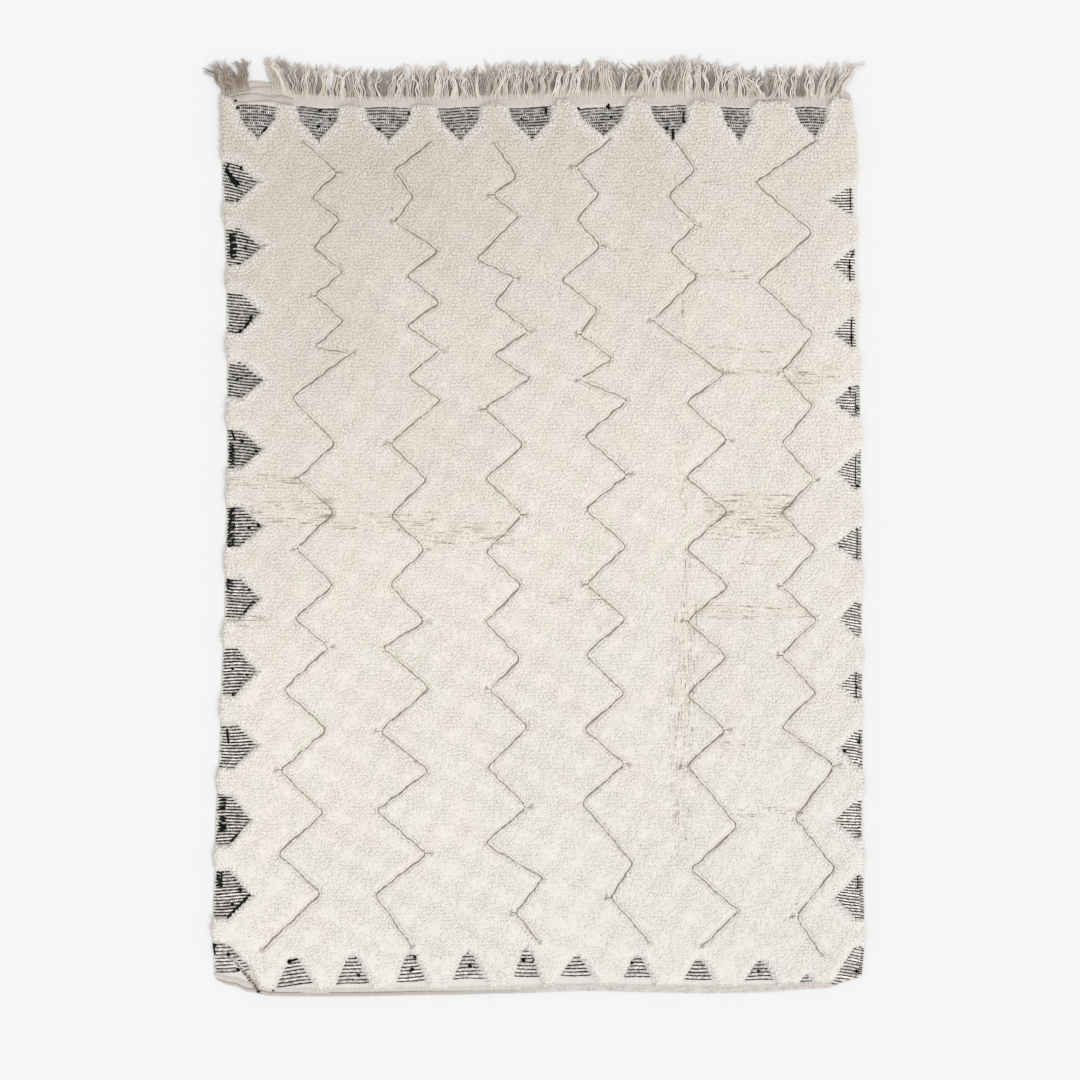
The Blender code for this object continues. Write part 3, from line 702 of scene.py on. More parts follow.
def slope_of(function, places, step=0.001):
    """The direction in which a function of places grows, from its differences over a step."""
    right = function(places + (step, 0.0)) - function(places - (step, 0.0))
    up = function(places + (0.0, step)) - function(places - (0.0, step))
    slope = np.column_stack([right, up])
    return slope / np.maximum(np.linalg.norm(slope, axis=1, keepdims=True), 1e-9)


# ---------------------------------------------------------------- meshes


def grid_faces(rows, columns, wrap=False):
    """The quads of a grid of points numbered row by row, anticlockwise where columns run right."""
    across = np.arange(columns if wrap else columns - 1)
    first = np.arange(rows - 1)[:, None] * columns + across
    second = np.arange(rows - 1)[:, None] * columns + (across + 1) % columns
    return np.stack([first, second, second + columns, first + columns], axis=-1).reshape(-1, 4)


def volume_of(points, faces):
    """The signed volume inside closed faces: a sixth of the sum of corner triple products of a fan."""
    total = 0.0
    for polygons in faces:
        corners = points[polygons]
        for k in range(1, polygons.shape[1] - 1):
            a, b, c = corners[:, 0], corners[:, k], corners[:, k + 1]
            total += np.einsum("ij,ij->i", a, np.cross(b, c)).sum() / 6.0
    return total


def make_piece(name, points, faces, finish, marks=None, chart=None):
    """Puts whole arrays into a mesh. faces has one array for each number of corners, chart their map."""
    if volume_of(points, faces) <= 0.0:
        raise RuntimeError(f"{name} is inside out")
    mesh = bpy.data.meshes.new(name)
    corners = np.concatenate([f.ravel() for f in faces]).astype(np.int32)
    sizes = np.concatenate([np.full(len(f), f.shape[1]) for f in faces])
    starts = np.concatenate([[0], np.cumsum(sizes)[:-1]]).astype(np.int32)
    mesh.vertices.add(len(points))
    mesh.vertices.foreach_set("co", np.ascontiguousarray(points, np.float32).ravel())
    mesh.loops.add(len(corners))
    mesh.loops.foreach_set("vertex_index", corners)
    mesh.polygons.add(len(sizes))
    mesh.polygons.foreach_set("loop_start", starts)
    mesh.update(calc_edges=True)
    mesh.polygons.foreach_set("use_smooth", np.ones(len(sizes), bool))
    for mark, values in (marks or {}).items():
        layer = mesh.attributes.new(mark, "FLOAT", "POINT")
        layer.data.foreach_set("value", np.ascontiguousarray(values, np.float32).ravel())
    if chart is not None:
        layer = mesh.uv_layers.new(name="OFBake")
        flat = np.concatenate([c.reshape(-1, 2) for c in chart]).astype(np.float32)
        layer.uv.foreach_set("vector", flat.ravel())
    mesh.materials.append(finish)
    piece = bpy.data.objects.new(name, mesh)
    bpy.context.scene.collection.objects.link(piece)
    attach(piece, "root")
    return piece


def swept(paths, half_width, half_height, sides):
    """Carries an oval along each path: centre + cos(a) half width sideways + sin(a) half height upwards."""
    count, joints = paths.shape[:2]
    run = np.gradient(paths, axis=1)
    run /= np.maximum(np.linalg.norm(run, axis=-1, keepdims=True), 1e-9)
    sideways = np.stack([-run[..., 1], run[..., 0], np.zeros((count, joints))], axis=-1)
    sideways /= np.maximum(np.linalg.norm(sideways, axis=-1, keepdims=True), 1e-9)
    upwards = np.cross(run, sideways)
    angle = 2.0 * math.pi * (np.arange(sides) + 0.5) / sides
    ring = np.cos(angle)[:, None] * (half_width[..., None, None] * sideways[:, :, None, :])
    ring = ring + np.sin(angle)[:, None] * (half_height[..., None, None] * upwards[:, :, None, :])
    points = (paths[:, :, None, :] + ring).reshape(-1, 3)
    offsets = np.arange(count)[:, None, None] * joints * sides
    walls = (grid_faces(joints, sides, wrap=True)[None] + offsets).reshape(-1, 4)
    first = np.arange(sides)[::-1]
    caps = np.stack([first, np.arange(sides) + (joints - 1) * sides])
    caps = (caps[None] + offsets).reshape(-1, sides)
    return points, [walls, caps], swept_chart(count, joints, sides)


def swept_chart(count, joints, sides):
    """Each strand as one upright strip of the map, side by side, its two caps above it."""
    around = np.arange(sides) / sides
    up = 0.01 + 0.94 * np.arange(joints - 1) / (joints - 1)
    step = 0.94 / (joints - 1)
    u, v = np.meshgrid(around, up)
    wide = 1.0 / sides
    walls = np.stack([u, v, u + wide, v, u + wide, v + step, u, v + step], axis=-1).reshape(-1, 4, 2)
    angle = 2.0 * math.pi * np.arange(sides) / sides
    cap = np.column_stack([0.25 + 0.2 * np.cos(angle), 0.975 + 0.015 * np.sin(angle)])
    caps = np.stack([cap, cap + (0.5, 0.0)])
    shift = np.arange(count)[:, None, None, None] * np.array([1.0, 0.0])
    scale = np.array([1.0 / count, 1.0])
    return [(walls[None] + shift) * scale, (caps[None] + shift) * scale]


def make_yarns(name, paths, half_width, half_height, sides, finish, strand, shade):
    """Ovals carried along paths as one piece, kept off the floor, each yarn with its mark and its shades."""
    count, joints = paths.shape[:2]
    points, faces, chart = swept(paths, half_width, half_height, sides)
    points[:, 2] = np.maximum(points[:, 2], OFF_FLOOR)
    shades = np.broadcast_to(shade, (count, joints)).ravel()
    marks = {"tuft": np.repeat(strand, joints * sides), "shade": np.repeat(shades, sides)}
    return make_piece(name, points, faces, finish, marks, chart)


# ---------------------------------------------------------------- materials


class Value:
    """A shader socket that takes arithmetic. Each operation adds one Math node to its finish."""

    def __init__(self, finish, socket):
        self.finish, self.socket = finish, socket

    def math(self, operation, *values):
        """A Math node's result for these values."""
        return self.finish.node("ShaderNodeMath", {"operation": operation}, values)

    def __add__(self, other):
        return self.math("ADD", self, other)

    __radd__ = __add__

    def __sub__(self, other):
        return self.math("SUBTRACT", self, other)

    def __rsub__(self, other):
        return self.math("SUBTRACT", other, self)

    def __mul__(self, other):
        return self.math("MULTIPLY", self, other)

    __rmul__ = __mul__

    def __truediv__(self, other):
        return self.math("DIVIDE", self, other)

    def __rtruediv__(self, other):
        return self.math("DIVIDE", other, self)

    def bell(self):
        """1 at 0 and less on both sides: exp(-v^2)."""
        return self.math("EXPONENT", 0.0 - self * self)

    def over(self, low, high):
        """0 at low, 1 at high and a soft S between."""
        return self.finish.node(
            "ShaderNodeMapRange",
            {"interpolation_type": "SMOOTHSTEP"},
            {"Value": self, "From Min": low, "From Max": high},
        )


class Finish:
    """One material's nodes. node() adds any of them, the others are its common uses."""

    def __init__(self, name):
        self.material = bpy.data.materials.new(name)
        self.material.use_nodes = True
        self.tree = self.material.node_tree
        self.tree.nodes.clear()

    def node(self, kind, settings=None, inputs=(), output=0):
        """Adds a node of a type, makes its settings, fills its sockets and gives one of its outputs."""
        node = self.tree.nodes.new(kind)
        for name, value in (settings or {}).items():
            if name == "stops":
                for stop, (at, colour) in zip(node.color_ramp.elements, value):
                    stop.position, stop.color = at, (*colour, 1.0)
                for at, colour in value[2:]:
                    node.color_ramp.elements.new(at).color = (*colour, 1.0)
            else:
                setattr(node, name, value)
        for key, value in inputs.items() if isinstance(inputs, dict) else enumerate(inputs):
            if isinstance(value, Value):
                self.tree.links.new(value.socket, node.inputs[key])
            else:
                node.inputs[key].default_value = value
        return Value(self, node.outputs[output]) if node.outputs else None

    def place(self, scale=(1.0, 1.0, 1.0), turn=0.0):
        """The piece's own coordinates in metres, stretched for a pattern."""
        coordinates = self.node("ShaderNodeTexCoord", output="Object")
        inputs = {"Vector": coordinates, "Scale": scale, "Rotation": (0.0, 0.0, turn)}
        return self.node("ShaderNodeMapping", None, inputs)

    def marks(self, *names):
        """Marks of the mesh's points, as values."""
        return [self.node("ShaderNodeAttribute", {"attribute_name": name}, (), "Fac") for name in names]

    def noise(self, scale, detail=2.0, turn=0.0):
        """Noise from 0 to 1 whose lumps are 1/scale metres apart along each axis."""
        inputs = {"Vector": self.place(scale, turn), "Scale": 1.0, "Detail": detail}
        return self.node("ShaderNodeTexNoise", None, inputs, "Fac")

    def mix(self, share, first, second, blend="MIX"):
        """Two colours mixed by a share."""
        settings = {"data_type": "RGBA", "blend_type": blend, "clamp_factor": True}
        first, second = (c if isinstance(c, Value) else (*c, 1.0) for c in (first, second))
        return self.node("ShaderNodeMix", settings, {0: share, 6: first, 7: second}, 2)

    def scaled(self, colour, by):
        """A colour made lighter or darker by a value."""
        return self.node("ShaderNodeVectorMath", {"operation": "SCALE"}, {"Vector": colour, "Scale": by})

    def bump(self, height, distance, strength=1.0):
        """A normal tilted by the slope of a height."""
        inputs = {"Height": height, "Distance": distance, "Strength": strength}
        return self.node("ShaderNodeBump", None, inputs, "Normal")

    def done(self, colour, roughness, sheen, shine, normal=None, spread=0.5):
        """Fills the surface shader's sockets and gives the material. spread is its sheen's roughness."""
        sockets = {"Base Color": colour, "Roughness": roughness, "Specular IOR Level": shine}
        sockets.update({"Sheen Weight": sheen, "Sheen Roughness": spread})
        if normal is not None:
            sockets["Normal"] = normal
        shader = self.node("ShaderNodeBsdfPrincipled", None, sockets)
        self.node("ShaderNodeOutputMaterial", None, {"Surface": shader})
        return self.material


def wool_shades(finish, colours):
    """The wool's colour over the rug: whiter at the hem, greyer at the fringed end and at the left, in soft
    clouds. These slopes are painted light and shade, for light that falls unevenly over the rug.
    """
    across = finish.node("ShaderNodeSeparateXYZ", None, (finish.place(),))
    along = Value(finish, across.socket.node.outputs["Y"])
    clouds = finish.noise((5.0, 3.5, 1.0), 3.0)
    # Painted light and shade: lighter towards the hem and the right, darker towards the fringed end and the
    # left
    share = (along - HEM_Y) / 2.43 - across * 0.20 + (clouds - 0.5) * 0.34
    late = tuple(0.55 * a + 0.45 * b for a, b in zip(colours.middle_wool, colours.end_wool))
    stops = [(0.0, colours.hem_wool), (1.0, colours.end_wool), (0.5, colours.middle_wool), (0.8, late)]
    return finish.node("ShaderNodeValToRGB", {"stops": stops}, (share,))


def pile_finish(colours):
    """Curled wool: its shades, a shade for each tuft, painted shade at the roots, beside the grooves, in the
    cracks and beside the corner's crease, warm parted stretches, soil near the hem, fine fibres.
    """
    finish = Finish("pile_wool")
    names = ("tuft", "depth", "seam", "parted", "folded", "cool", "soil")
    tuft, depth, seam, parted, folded, cool, soil = finish.marks(*names)
    fibres = finish.noise((700.0, 420.0, 500.0), 3.0)
    streaks = finish.noise((210.0, 30.0, 40.0), 3.0)
    clouds = finish.noise((9.0, 7.0, 1.0), 3.0).over(0.38, 0.62)
    shade = wool_shades(finish, colours)
    shade = finish.mix(1.0, shade, finish.mix(clouds, (1.0, 0.985, 0.995), (0.985, 1.0, 0.975)), "MULTIPLY")
    shade = finish.mix(parted.math("MAXIMUM", parted, folded * 0.7) * 0.40, shade, colours.warm_wool)
    shade = finish.mix(cool * 0.45, shade, colours.cool_wool)
    light = 0.965 + tuft * 0.07 + (fibres - 0.5) * 0.10 + (streaks - 0.5) * 0.23
    # Painted shade: each tuft is painted darker towards its root (depth 0) than at its head
    shade = finish.scaled(shade, light * (0.94 + 0.06 * depth.over(0.0, 0.8)))
    # Painted shade: each tuft's foot beside a groove is mixed towards the groove shade colour
    shade = finish.mix(seam * (1.0 - depth) * 0.82, shade, colours.groove_shade_colour)
    # Painted shade: thin dark lines across the parted stretches and along the fold stand for the shade in the
    # pile's cracks
    across = finish.noise((15.0, 270.0, 1.0), 1.0, 0.02).over(0.55, 0.62) * parted.over(0.06, 0.4)
    down = finish.noise((270.0, 15.0, 1.0), 1.0).over(0.55, 0.62) * folded.over(0.06, 0.4)
    broken = 0.25 + 0.75 * finish.noise((22.0, 60.0, 1.0), 1.0).over(0.40, 0.60)
    cracks = across.math("MAXIMUM", across, down) * broken
    shade = finish.mix(cracks, shade, colours.groove_shade_colour)
    # Painted shade beside the corner's crease, and soil blots near the hem, mixed towards the soil and shade
    # colour
    shade = finish.mix(soil * (0.4 + 0.6 * fibres), shade, colours.soil)
    normal = finish.bump(fibres + 0.6 * streaks - 2.0 * cracks, 0.0008, 0.6)
    return finish.done(shade, 0.92, 0.30, 0.2, normal, spread=0.55)


def ground_finish(colours):
    """The woven ground: ribbed where bare, wool roots under the pile, rows of knot backs below, with painted
    shade at the grooves and between the knot backs, a painted shadow line under the pile's edge at the hem, and
    painted light on the bare weave near the hem.
    """
    finish = Finish("woven_ground")
    place = finish.node("ShaderNodeSeparateXYZ", None, (finish.place(),))
    height = Value(finish, place.socket.node.outputs["Z"])
    pile, strip, seam, crease = finish.marks("pile", "strip", "seam", "fold")
    across, along = finish.marks("across", "along")
    ribs = finish.noise((230.0, 14.0, 1.0))
    picks = finish.noise((70.0, 330.0, 1.0))
    clouds = finish.noise((9.0, 9.0, 1.0), 3.0)
    blots = finish.noise((34.0, 90.0, 1.0), 3.0)
    warps = across * (2.0 * math.pi / WARP_SPACING) + ribs * 5.0
    weave = ribs * 0.5 + picks * 0.3 + warps.math("SINE", warps) * 0.10 + 0.1
    bare = finish.mix(across.over(0.05, 0.30), colours.bare_weave, colours.pale_weave)
    band = along.over(0.0105, 0.0075) * across.over(0.02, -0.10)
    bare = finish.mix(along.over(0.30, 0.10), bare, colours.pale_weave)
    bare = finish.mix(strip.math("MAXIMUM", strip, band), bare, colours.end_weave)
    # Painted light: the bare weave near the hem is painted lighter, to offset the shade that the pile casts on
    # it
    foot = along.over(0.024, 0.014) * (1.0 - band)
    light = 0.80 + foot * 0.16 - strip * 0.16 + weave * (0.34 + 0.34 * strip) + clouds * 0.14
    bare = finish.scaled(bare, light)
    # Painted shadow: a dark line across the hem just below the pile's edge
    line = ((along - 0.0100 - (blots - 0.5) * 0.003) / 0.0019).bell()
    line = line * (0.25 + 0.75 * across.over(-0.10, -0.36)) * across.over(0.05, -0.02)
    line = line * clouds.over(0.30, 0.45)
    patch = along.over(0.030, 0.014) * picks.over(0.44, 0.60) * blots.over(0.38, 0.56)
    patch = patch * (0.05 + 0.30 * across.over(-0.14, 0.0))
    worn = (crease / 0.0055).bell() * (0.4 + 1.1 * picks.over(0.40, 0.62))
    # Mixed towards the soil and shade colour: the painted shadow line, a little on the hem band, soil patches
    # near the hem and wear along the corner's crease
    bare = finish.mix(line * (0.45 + 0.5 * blots) + band * 0.13 + patch + worn, bare, colours.soil)
    wool = wool_shades(finish, colours)
    # Painted shade: the wool roots at the grooves' floors are mixed towards the groove shade colour
    roots = finish.mix(seam * 0.7, finish.scaled(wool, 0.90 + weave * 0.16), colours.groove_shade_colour)
    # Painted shade: the underside's wool is painted darker between the knot backs
    inputs = {"Vector": finish.place((130.0, 210.0, 1.0)), "Scale": 1.0, "Randomness": 0.35}
    knots = finish.node("ShaderNodeTexVoronoi", {"feature": "F1"}, inputs)
    under = height.over(0.0012, 0.0004)
    shade = finish.mix(under, finish.mix(pile, bare, roots), finish.scaled(wool, 0.96 - knots * 0.42))
    relief = weave * (1.0 - under) + (1.0 - knots) * under * 1.6
    return finish.done(shade, 0.90, 0.20, 0.2, finish.bump(relief, 0.0014, 0.9))


def yarn_finish(name, colour, uneven, sheen, beads=0.0, deep=None):
    """Spun yarn: its marked shade, fibres and slubs along it and, where it is woven, a bead for each warp.

    The shade scales the colour, or mixes it with a deep colour, which is painted shade, where there is one.
    """
    finish = Finish(name)
    strand, shade = finish.marks("tuft", "shade")
    fibres = finish.noise((900.0, 900.0, 900.0), 3.0)
    slubs = finish.noise((120.0, 120.0, 60.0))
    light = 1.0 + uneven * ((strand - 0.5) * 1.2 + (fibres - 0.5) * 0.8 + (slubs - 0.5) * 0.9)
    relief = fibres + 0.5 * slubs
    if beads:
        place = finish.node("ShaderNodeSeparateXYZ", None, (finish.place(),))
        turn = place * (2.0 * math.pi / BEAD_SPACING) + strand * 9.0 + slubs * 2.0
        bead = turn.math("SINE", turn)
        relief = relief + bead * 0.6
        light = light * (1.0 + beads * bead.over(0.25, 1.0) * slubs.over(0.34, 0.52))
    if deep:
        base = finish.scaled(finish.mix(shade, deep, colour), light)
    else:
        base = finish.scaled(colour, shade * light)
    return finish.done(base, 0.90, sheen, 0.15, finish.bump(relief, 0.0009, 0.8))


# ---------------------------------------------------------------- what a user would change


def length(name, description, default):
    """A size that a user may change."""
    return FloatProperty(name=name, description=description, default=default, unit="LENGTH")


def colour(name, description, default):
    """A colour that a user may change."""
    return FloatVectorProperty(name=name, description=description, default=default, subtype="COLOR")


class RugSizes(bpy.types.PropertyGroup):
    """Sizes of the rug's yarns, tufts and pile."""

    ground_thickness: length("Ground thickness", "Thickness of the woven ground", 0.004)
    pile_height: length("Pile height", "Height of the pile over its ground", 0.016)
    bed_height: length("Bed height", "Height at which the tufts' roots close up", 0.0142)
    tuft_across: length("Tufts across", "Spacing of the tufts across the rug", 0.0073)
    tuft_along: length("Tufts along", "Spacing of the tufts along the rug", 0.0092)
    tuft_radius: length("Tuft radius", "Half the width of one tuft", 0.0062)
    tuft_lean: length("Tuft lean", "How far a tuft leans towards the hem", 0.0035)
    uneven: length("Uneven tops", "Scatter of the tufts' heights", 0.0004)
    blunt: FloatProperty(
        name="Blunt heads", description="Share of a tuft above its shoulder", default=0.10, subtype="FACTOR"
    )
    groove_gap: length("Groove gap", "Width of a groove between its tufts", 0.0058)
    edge_gap: length("Edge gap", "From the pile's edge to the nearest tufts' heads", 0.0040)
    fringe_yarn: length("Fringe yarn", "Thickness of one yarn of the fringe", 0.0039)
    fringe_spacing: length("Fringe spacing", "Spacing of the fringe's yarns", 0.0036)
    fringe_overlap: length("Fringe overlap", "How far the fringe's yarns run over the cloth", 0.018)
    bands: IntProperty(name="Bands", description="Stretches that the pile is made in", default=4, min=1)


class RugColours(bpy.types.PropertyGroup):
    """Colours of the rug's yarns."""

    hem_wool: colour("Wool at the hem", "Pile wool near the hem", (0.79, 0.757, 0.708))
    middle_wool: colour("Wool in the middle", "Pile wool in the middle", (0.822, 0.765, 0.702))
    end_wool: colour("Wool at the fringe", "Pile wool near the fringe", (0.675, 0.612, 0.545))
    cool_wool: colour("Wool at the triangles", "Paler, cooler wool around the triangles", (0.86, 0.87, 0.84))
    warm_wool: colour("Parted wool", "Wool seen where the pile has parted", (0.835, 0.735, 0.62))
    # Painted shade: the grooves' floors, the tufts' feet beside them and the pile's cracks are mixed towards
    # this colour
    groove_shade_colour: colour("Groove", "Wool down in the grooves", (0.39, 0.322, 0.262))
    bare_weave: colour("Bare weave", "Flat-woven cream wool", (0.62, 0.60, 0.55))
    pale_weave: colour("Pale weave", "Flat-woven wool at the hem and the right side", (0.69, 0.665, 0.625))
    end_weave: colour("End weave", "Plain weave along the ends", (0.536, 0.497, 0.468))
    fringe: colour("Fringe", "Warp yarns of the fringe", (0.785, 0.71, 0.64))
    fringe_shade: colour("Fringe shade", "Yarns that lie deep in the fringe", (0.155, 0.104, 0.067))
    # Brown for real soil and for painted shade: beside the corner's crease and in the shadow line under the
    # pile's edge at the hem
    soil: colour("Soil", "Brown shade along creased edges", (0.16, 0.11, 0.09))
    black_yarn: colour("Black yarn", "Black wool of the stripes and knots", (0.0085, 0.008, 0.009))
    floor: colour("Floor", "Plain floor of the studio", (0.80, 0.80, 0.80))


def made_to(context):
    """What every piece is made to: the sizes, the colours as plain tuples and the plan."""
    colours = context.scene.rug_colours
    plain = {name: tuple(getattr(colours, name)) for name in RugColours.__annotations__}
    return context.scene.rug_sizes, SimpleNamespace(**plain), Plan()


# ---------------------------------------------------------------- pieces


def graded(start, end):
    """Places from start to end, close together within a band of either end and wider between."""
    near = int(round(NET_BAND / NET_FINE)) + 1
    first = np.linspace(start, start + NET_BAND, near)[1:]
    last = np.linspace(end - NET_BAND, end, near)[:-1]
    count = int(round((end - start - 2.0 * NET_BAND) / NET_COARSE)) + 1
    middle = np.linspace(start + NET_BAND, end - NET_BAND, count)[1:-1]
    return np.concatenate([[start, start + RIM_STEP], first, middle, last, [end - RIM_STEP, end]])


def rounded_corners(places):
    """Bends each corner's square of the net onto a quarter disc: a' = a sqrt(1 - b^2 / 2), and b' alike."""
    reach = HALF_WIDTH - CORNER_RADIUS
    middle = 0.5 * CLOTH_LENGTH
    far = middle - CORNER_RADIUS
    a = np.clip((np.abs(places[:, 0]) - reach) / CORNER_RADIUS, 0.0, None)
    b = np.clip((np.abs(places[:, 1] - middle) - far) / CORNER_RADIUS, 0.0, None)
    a_new = a * np.sqrt(1.0 - 0.5 * b * b)
    b_new = b * np.sqrt(1.0 - 0.5 * a * a)
    across = places[:, 0] + np.sign(places[:, 0]) * (a_new - a) * CORNER_RADIUS
    along = places[:, 1] + np.sign(places[:, 1] - middle) * (b_new - b) * CORNER_RADIUS
    return np.column_stack([across, along])


def weave_ground(sizes, colours, plan):
    """The cloth: a net of height over the floor, a wall down from its rim and a flat underside.

    Height = thickness, less at the rim, plus cockles and the corner's crease, plus the tufts' bed times
    the pile's share, which is less at the grooves.
    """
    across = graded(-HALF_WIDTH, HALF_WIDTH)
    along = graded(0.0, CLOTH_LENGTH)
    rows, columns = len(along), len(across)
    net = np.stack(np.meshgrid(across, along), axis=-1).reshape(-1, 2)
    edge = np.minimum(HALF_WIDTH - np.abs(net[:, 0]), np.minimum(net[:, 1], CLOTH_LENGTH - net[:, 1]))
    places = rounded_corners(net)
    swell = bulge_at(places, plan.triangles) * (np.abs(net[:, 0]) / HALF_WIDTH) ** 40
    places[:, 0] += np.sign(net[:, 0]) * swell
    x, y = lying(places[:, 0], places[:, 1])
    inside = plan.in_pile(places)
    groove = ramp(1.0 - plan.from_groove(places) / GROOVE_REACH)
    share = ramp((inside - 0.001) / 0.010)
    thickness = sizes.ground_thickness - RIM_THINNED * ramp(1.0 - edge / RIM_STEP)
    cockle = 0.0005 * crossed_waves(places, ((47.0, 9.0), (-13.0, 61.0)))
    crease = from_lines(places, [np.array(CREASE_PLACES)])
    ridge = CREASE_HEIGHT * np.exp(-((crease / 0.007) ** 2)) * ramp(edge / 0.012)
    z = thickness + (cockle + ridge) * ramp(edge / 0.01)
    bed = sizes.bed_height + plan.lumps(places) + 0.0012 * (1.0 - places[:, 1] / CLOTH_LENGTH)
    bed *= (1.0 - GROOVE_SHARE * groove) * rim_share(inside)
    z = z + share * bed
    fringed = ramp((places[:, 1] - PILE_TO + 0.002) / 0.004)
    strip = np.maximum(fringed, ramp((HEM_STRIP - places[:, 1]) / 0.006))
    corner = ramp((CORNER_STRIP_TO - places[:, 0]) / 0.01)
    strip = np.maximum(strip, ramp((CORNER_STRIP - places[:, 1]) / 0.006) * corner)
    around = np.concatenate(
        [
            np.arange(columns - 1),
            np.arange(rows - 1) * columns + columns - 1,
            (rows - 1) * columns + np.arange(columns - 1, 0, -1),
            np.arange(rows - 1, 0, -1) * columns,
        ]
    )
    top = np.column_stack([x, y, z])
    low = top[around] * (1.0, 1.0, 0.0)
    below = len(top) + np.arange(len(around))
    wall = np.column_stack([below, np.roll(below, -1), np.roll(around, -1), around])
    faces = [grid_faces(rows, columns), wall, below[None, ::-1]]
    points = np.concatenate([top, low])
    flat = (points[:, :2] - MAP_CORNER) / MAP_SIZE
    run = np.arange(len(around)) / len(around)
    step = 1.0 / len(around)
    inner, outer = 0.984 + 0.0 * run, 0.996 + 0.0 * run
    wall_map = np.stack([inner, run, inner, run + step, outer, run + step, outer, run], axis=-1)
    chart = [flat[faces[0]] * (0.49, 1.0), wall_map, flat[faces[2]] * (0.485, 1.0) + (0.495, 0.0)]
    found = {
        "pile": share,
        "strip": strip,
        # seam: where painted shade is mixed in at the grooves' floors
        "seam": groove * share,
        "fold": np.minimum(crease, 0.03),
        "across": places[:, 0],
        "along": places[:, 1],
    }
    marks = {name: np.concatenate([values, values[around]]) for name, values in found.items()}
    return make_piece("woven_ground", points, faces, ground_finish(colours), marks, chart)


def pushed(places, distance, gap, reach):
    """Places moved off a line: where it is d away and d < reach, d grows by gap (1 - d / reach)."""
    off = distance(places)
    near = np.flatnonzero(off < reach)
    moved = places.copy()
    push = gap * (1.0 - np.maximum(off[near], 0.0) / reach)
    moved[near] += slope_of(distance, places[near]) * push[:, None]
    return moved


def groove_rims(sizes, plan):
    """Heads beside the grooves and their directions off them: even places on each line, moved aside."""
    heads, outward = [], []
    for line in plan.grooves:
        reach = np.concatenate([[0.0], np.cumsum(np.linalg.norm(np.diff(line, axis=0), axis=1))])
        count = max(2, int(reach[-1] / (0.85 * sizes.tuft_across)))
        at = np.linspace(0.4 * sizes.tuft_across, reach[-1], count, endpoint=False)
        middle = np.column_stack([np.interp(at, reach, line[:, k]) for k in (0, 1)])
        run = np.gradient(middle, axis=0)
        run /= np.linalg.norm(run, axis=1, keepdims=True)
        off = np.column_stack([-run[:, 1], run[:, 0]])
        gap = 0.5 * sizes.tuft_radius + 0.5 * sizes.groove_gap * plan.strength(middle)[:, None]
        heads += [middle - off * gap, middle + off * gap]
        outward += [-off, off]
    heads, outward = np.concatenate(heads), np.concatenate(outward)
    first = 2.0 * heads - wavered(heads)
    heads = heads - (wavered(first) - first)
    kept = (plan.from_groove(heads) > 0.40 * sizes.tuft_radius) & (plan.in_pile(heads) > 0.003)
    return heads[kept], outward[kept]


def tuft_heads(sizes, plan, chance):
    """The places of the tufts' heads and, beside a groove, their directions off it.

    They are rows along both sides of each groove and, past these, a brick-laid net with scatter that is
    moved off the grooves and edges.
    """
    rows = int(round((CLOTH_LENGTH + 0.03) / sizes.tuft_along))
    columns = int(round((CLOTH_WIDTH + 0.02) / sizes.tuft_across))
    column, row = (n.ravel() for n in np.meshgrid(np.arange(columns), np.arange(rows)))
    places = np.column_stack([column + 0.5 * (row % 2) - 0.5 * columns, row + 0.5]).astype(float)
    places += chance.uniform(-0.30, 0.30, places.shape)
    places *= (sizes.tuft_across, sizes.tuft_along)
    places = places[(plan.in_pile(places) > 0.0) & (plan.from_groove(places) > CLEAR_BEFORE)]
    places = pushed(places, plan.from_groove, GROOVE_PUSH, GROOVE_PUSH_REACH)
    places = pushed(places, plan.in_pile, sizes.edge_gap, EDGE_PUSH_REACH)
    places = places[(plan.in_pile(places) > 0.4 * sizes.edge_gap) & (plan.from_groove(places) > CLEAR_AFTER)]
    rims, outward = groove_rims(sizes, plan)
    return np.concatenate([places, rims]), np.concatenate([np.zeros(places.shape), outward])


def tuft_shapes(places, rim, sizes, plan, chance):
    """Each tuft's foot, height, lean and half width.

    It leans to the hem with scatter, out over the pile's edges and hardly at all beside the grooves.
    """
    count = len(places)
    inside = plan.in_pile(places)
    beside = ramp(1.0 - (plan.from_groove(places) - 0.0045) / 0.010)
    edge = ramp(1.0 - inside / 0.014)
    foot = sizes.ground_thickness + sizes.bed_height * ramp(inside / 0.010) * (1.0 - 0.55 * beside) - 0.003
    full = sizes.pile_height + plan.lumps(places)
    full *= rim_share(inside) * (1.0 - 0.13 * beside)
    top = sizes.ground_thickness + full + chance.normal(0.0, sizes.uneven, count)
    lean = chance.normal(0.0, LEAN_SCATTER, (count, 2)) + (0.0, -sizes.tuft_lean)
    lean *= ((1.0 - 0.8 * np.maximum(beside, edge)) * (1.0 - rim))[:, None]
    lean -= slope_of(plan.in_pile, places) * (LEAN_OUT * edge)[:, None]
    half = sizes.tuft_radius * (1.0 + chance.uniform(-0.12, 0.16, count) * (1.0 - 0.6 * rim))
    half *= 1.0 - 0.14 * beside * (1.0 - rim)
    return foot, top, lean, half


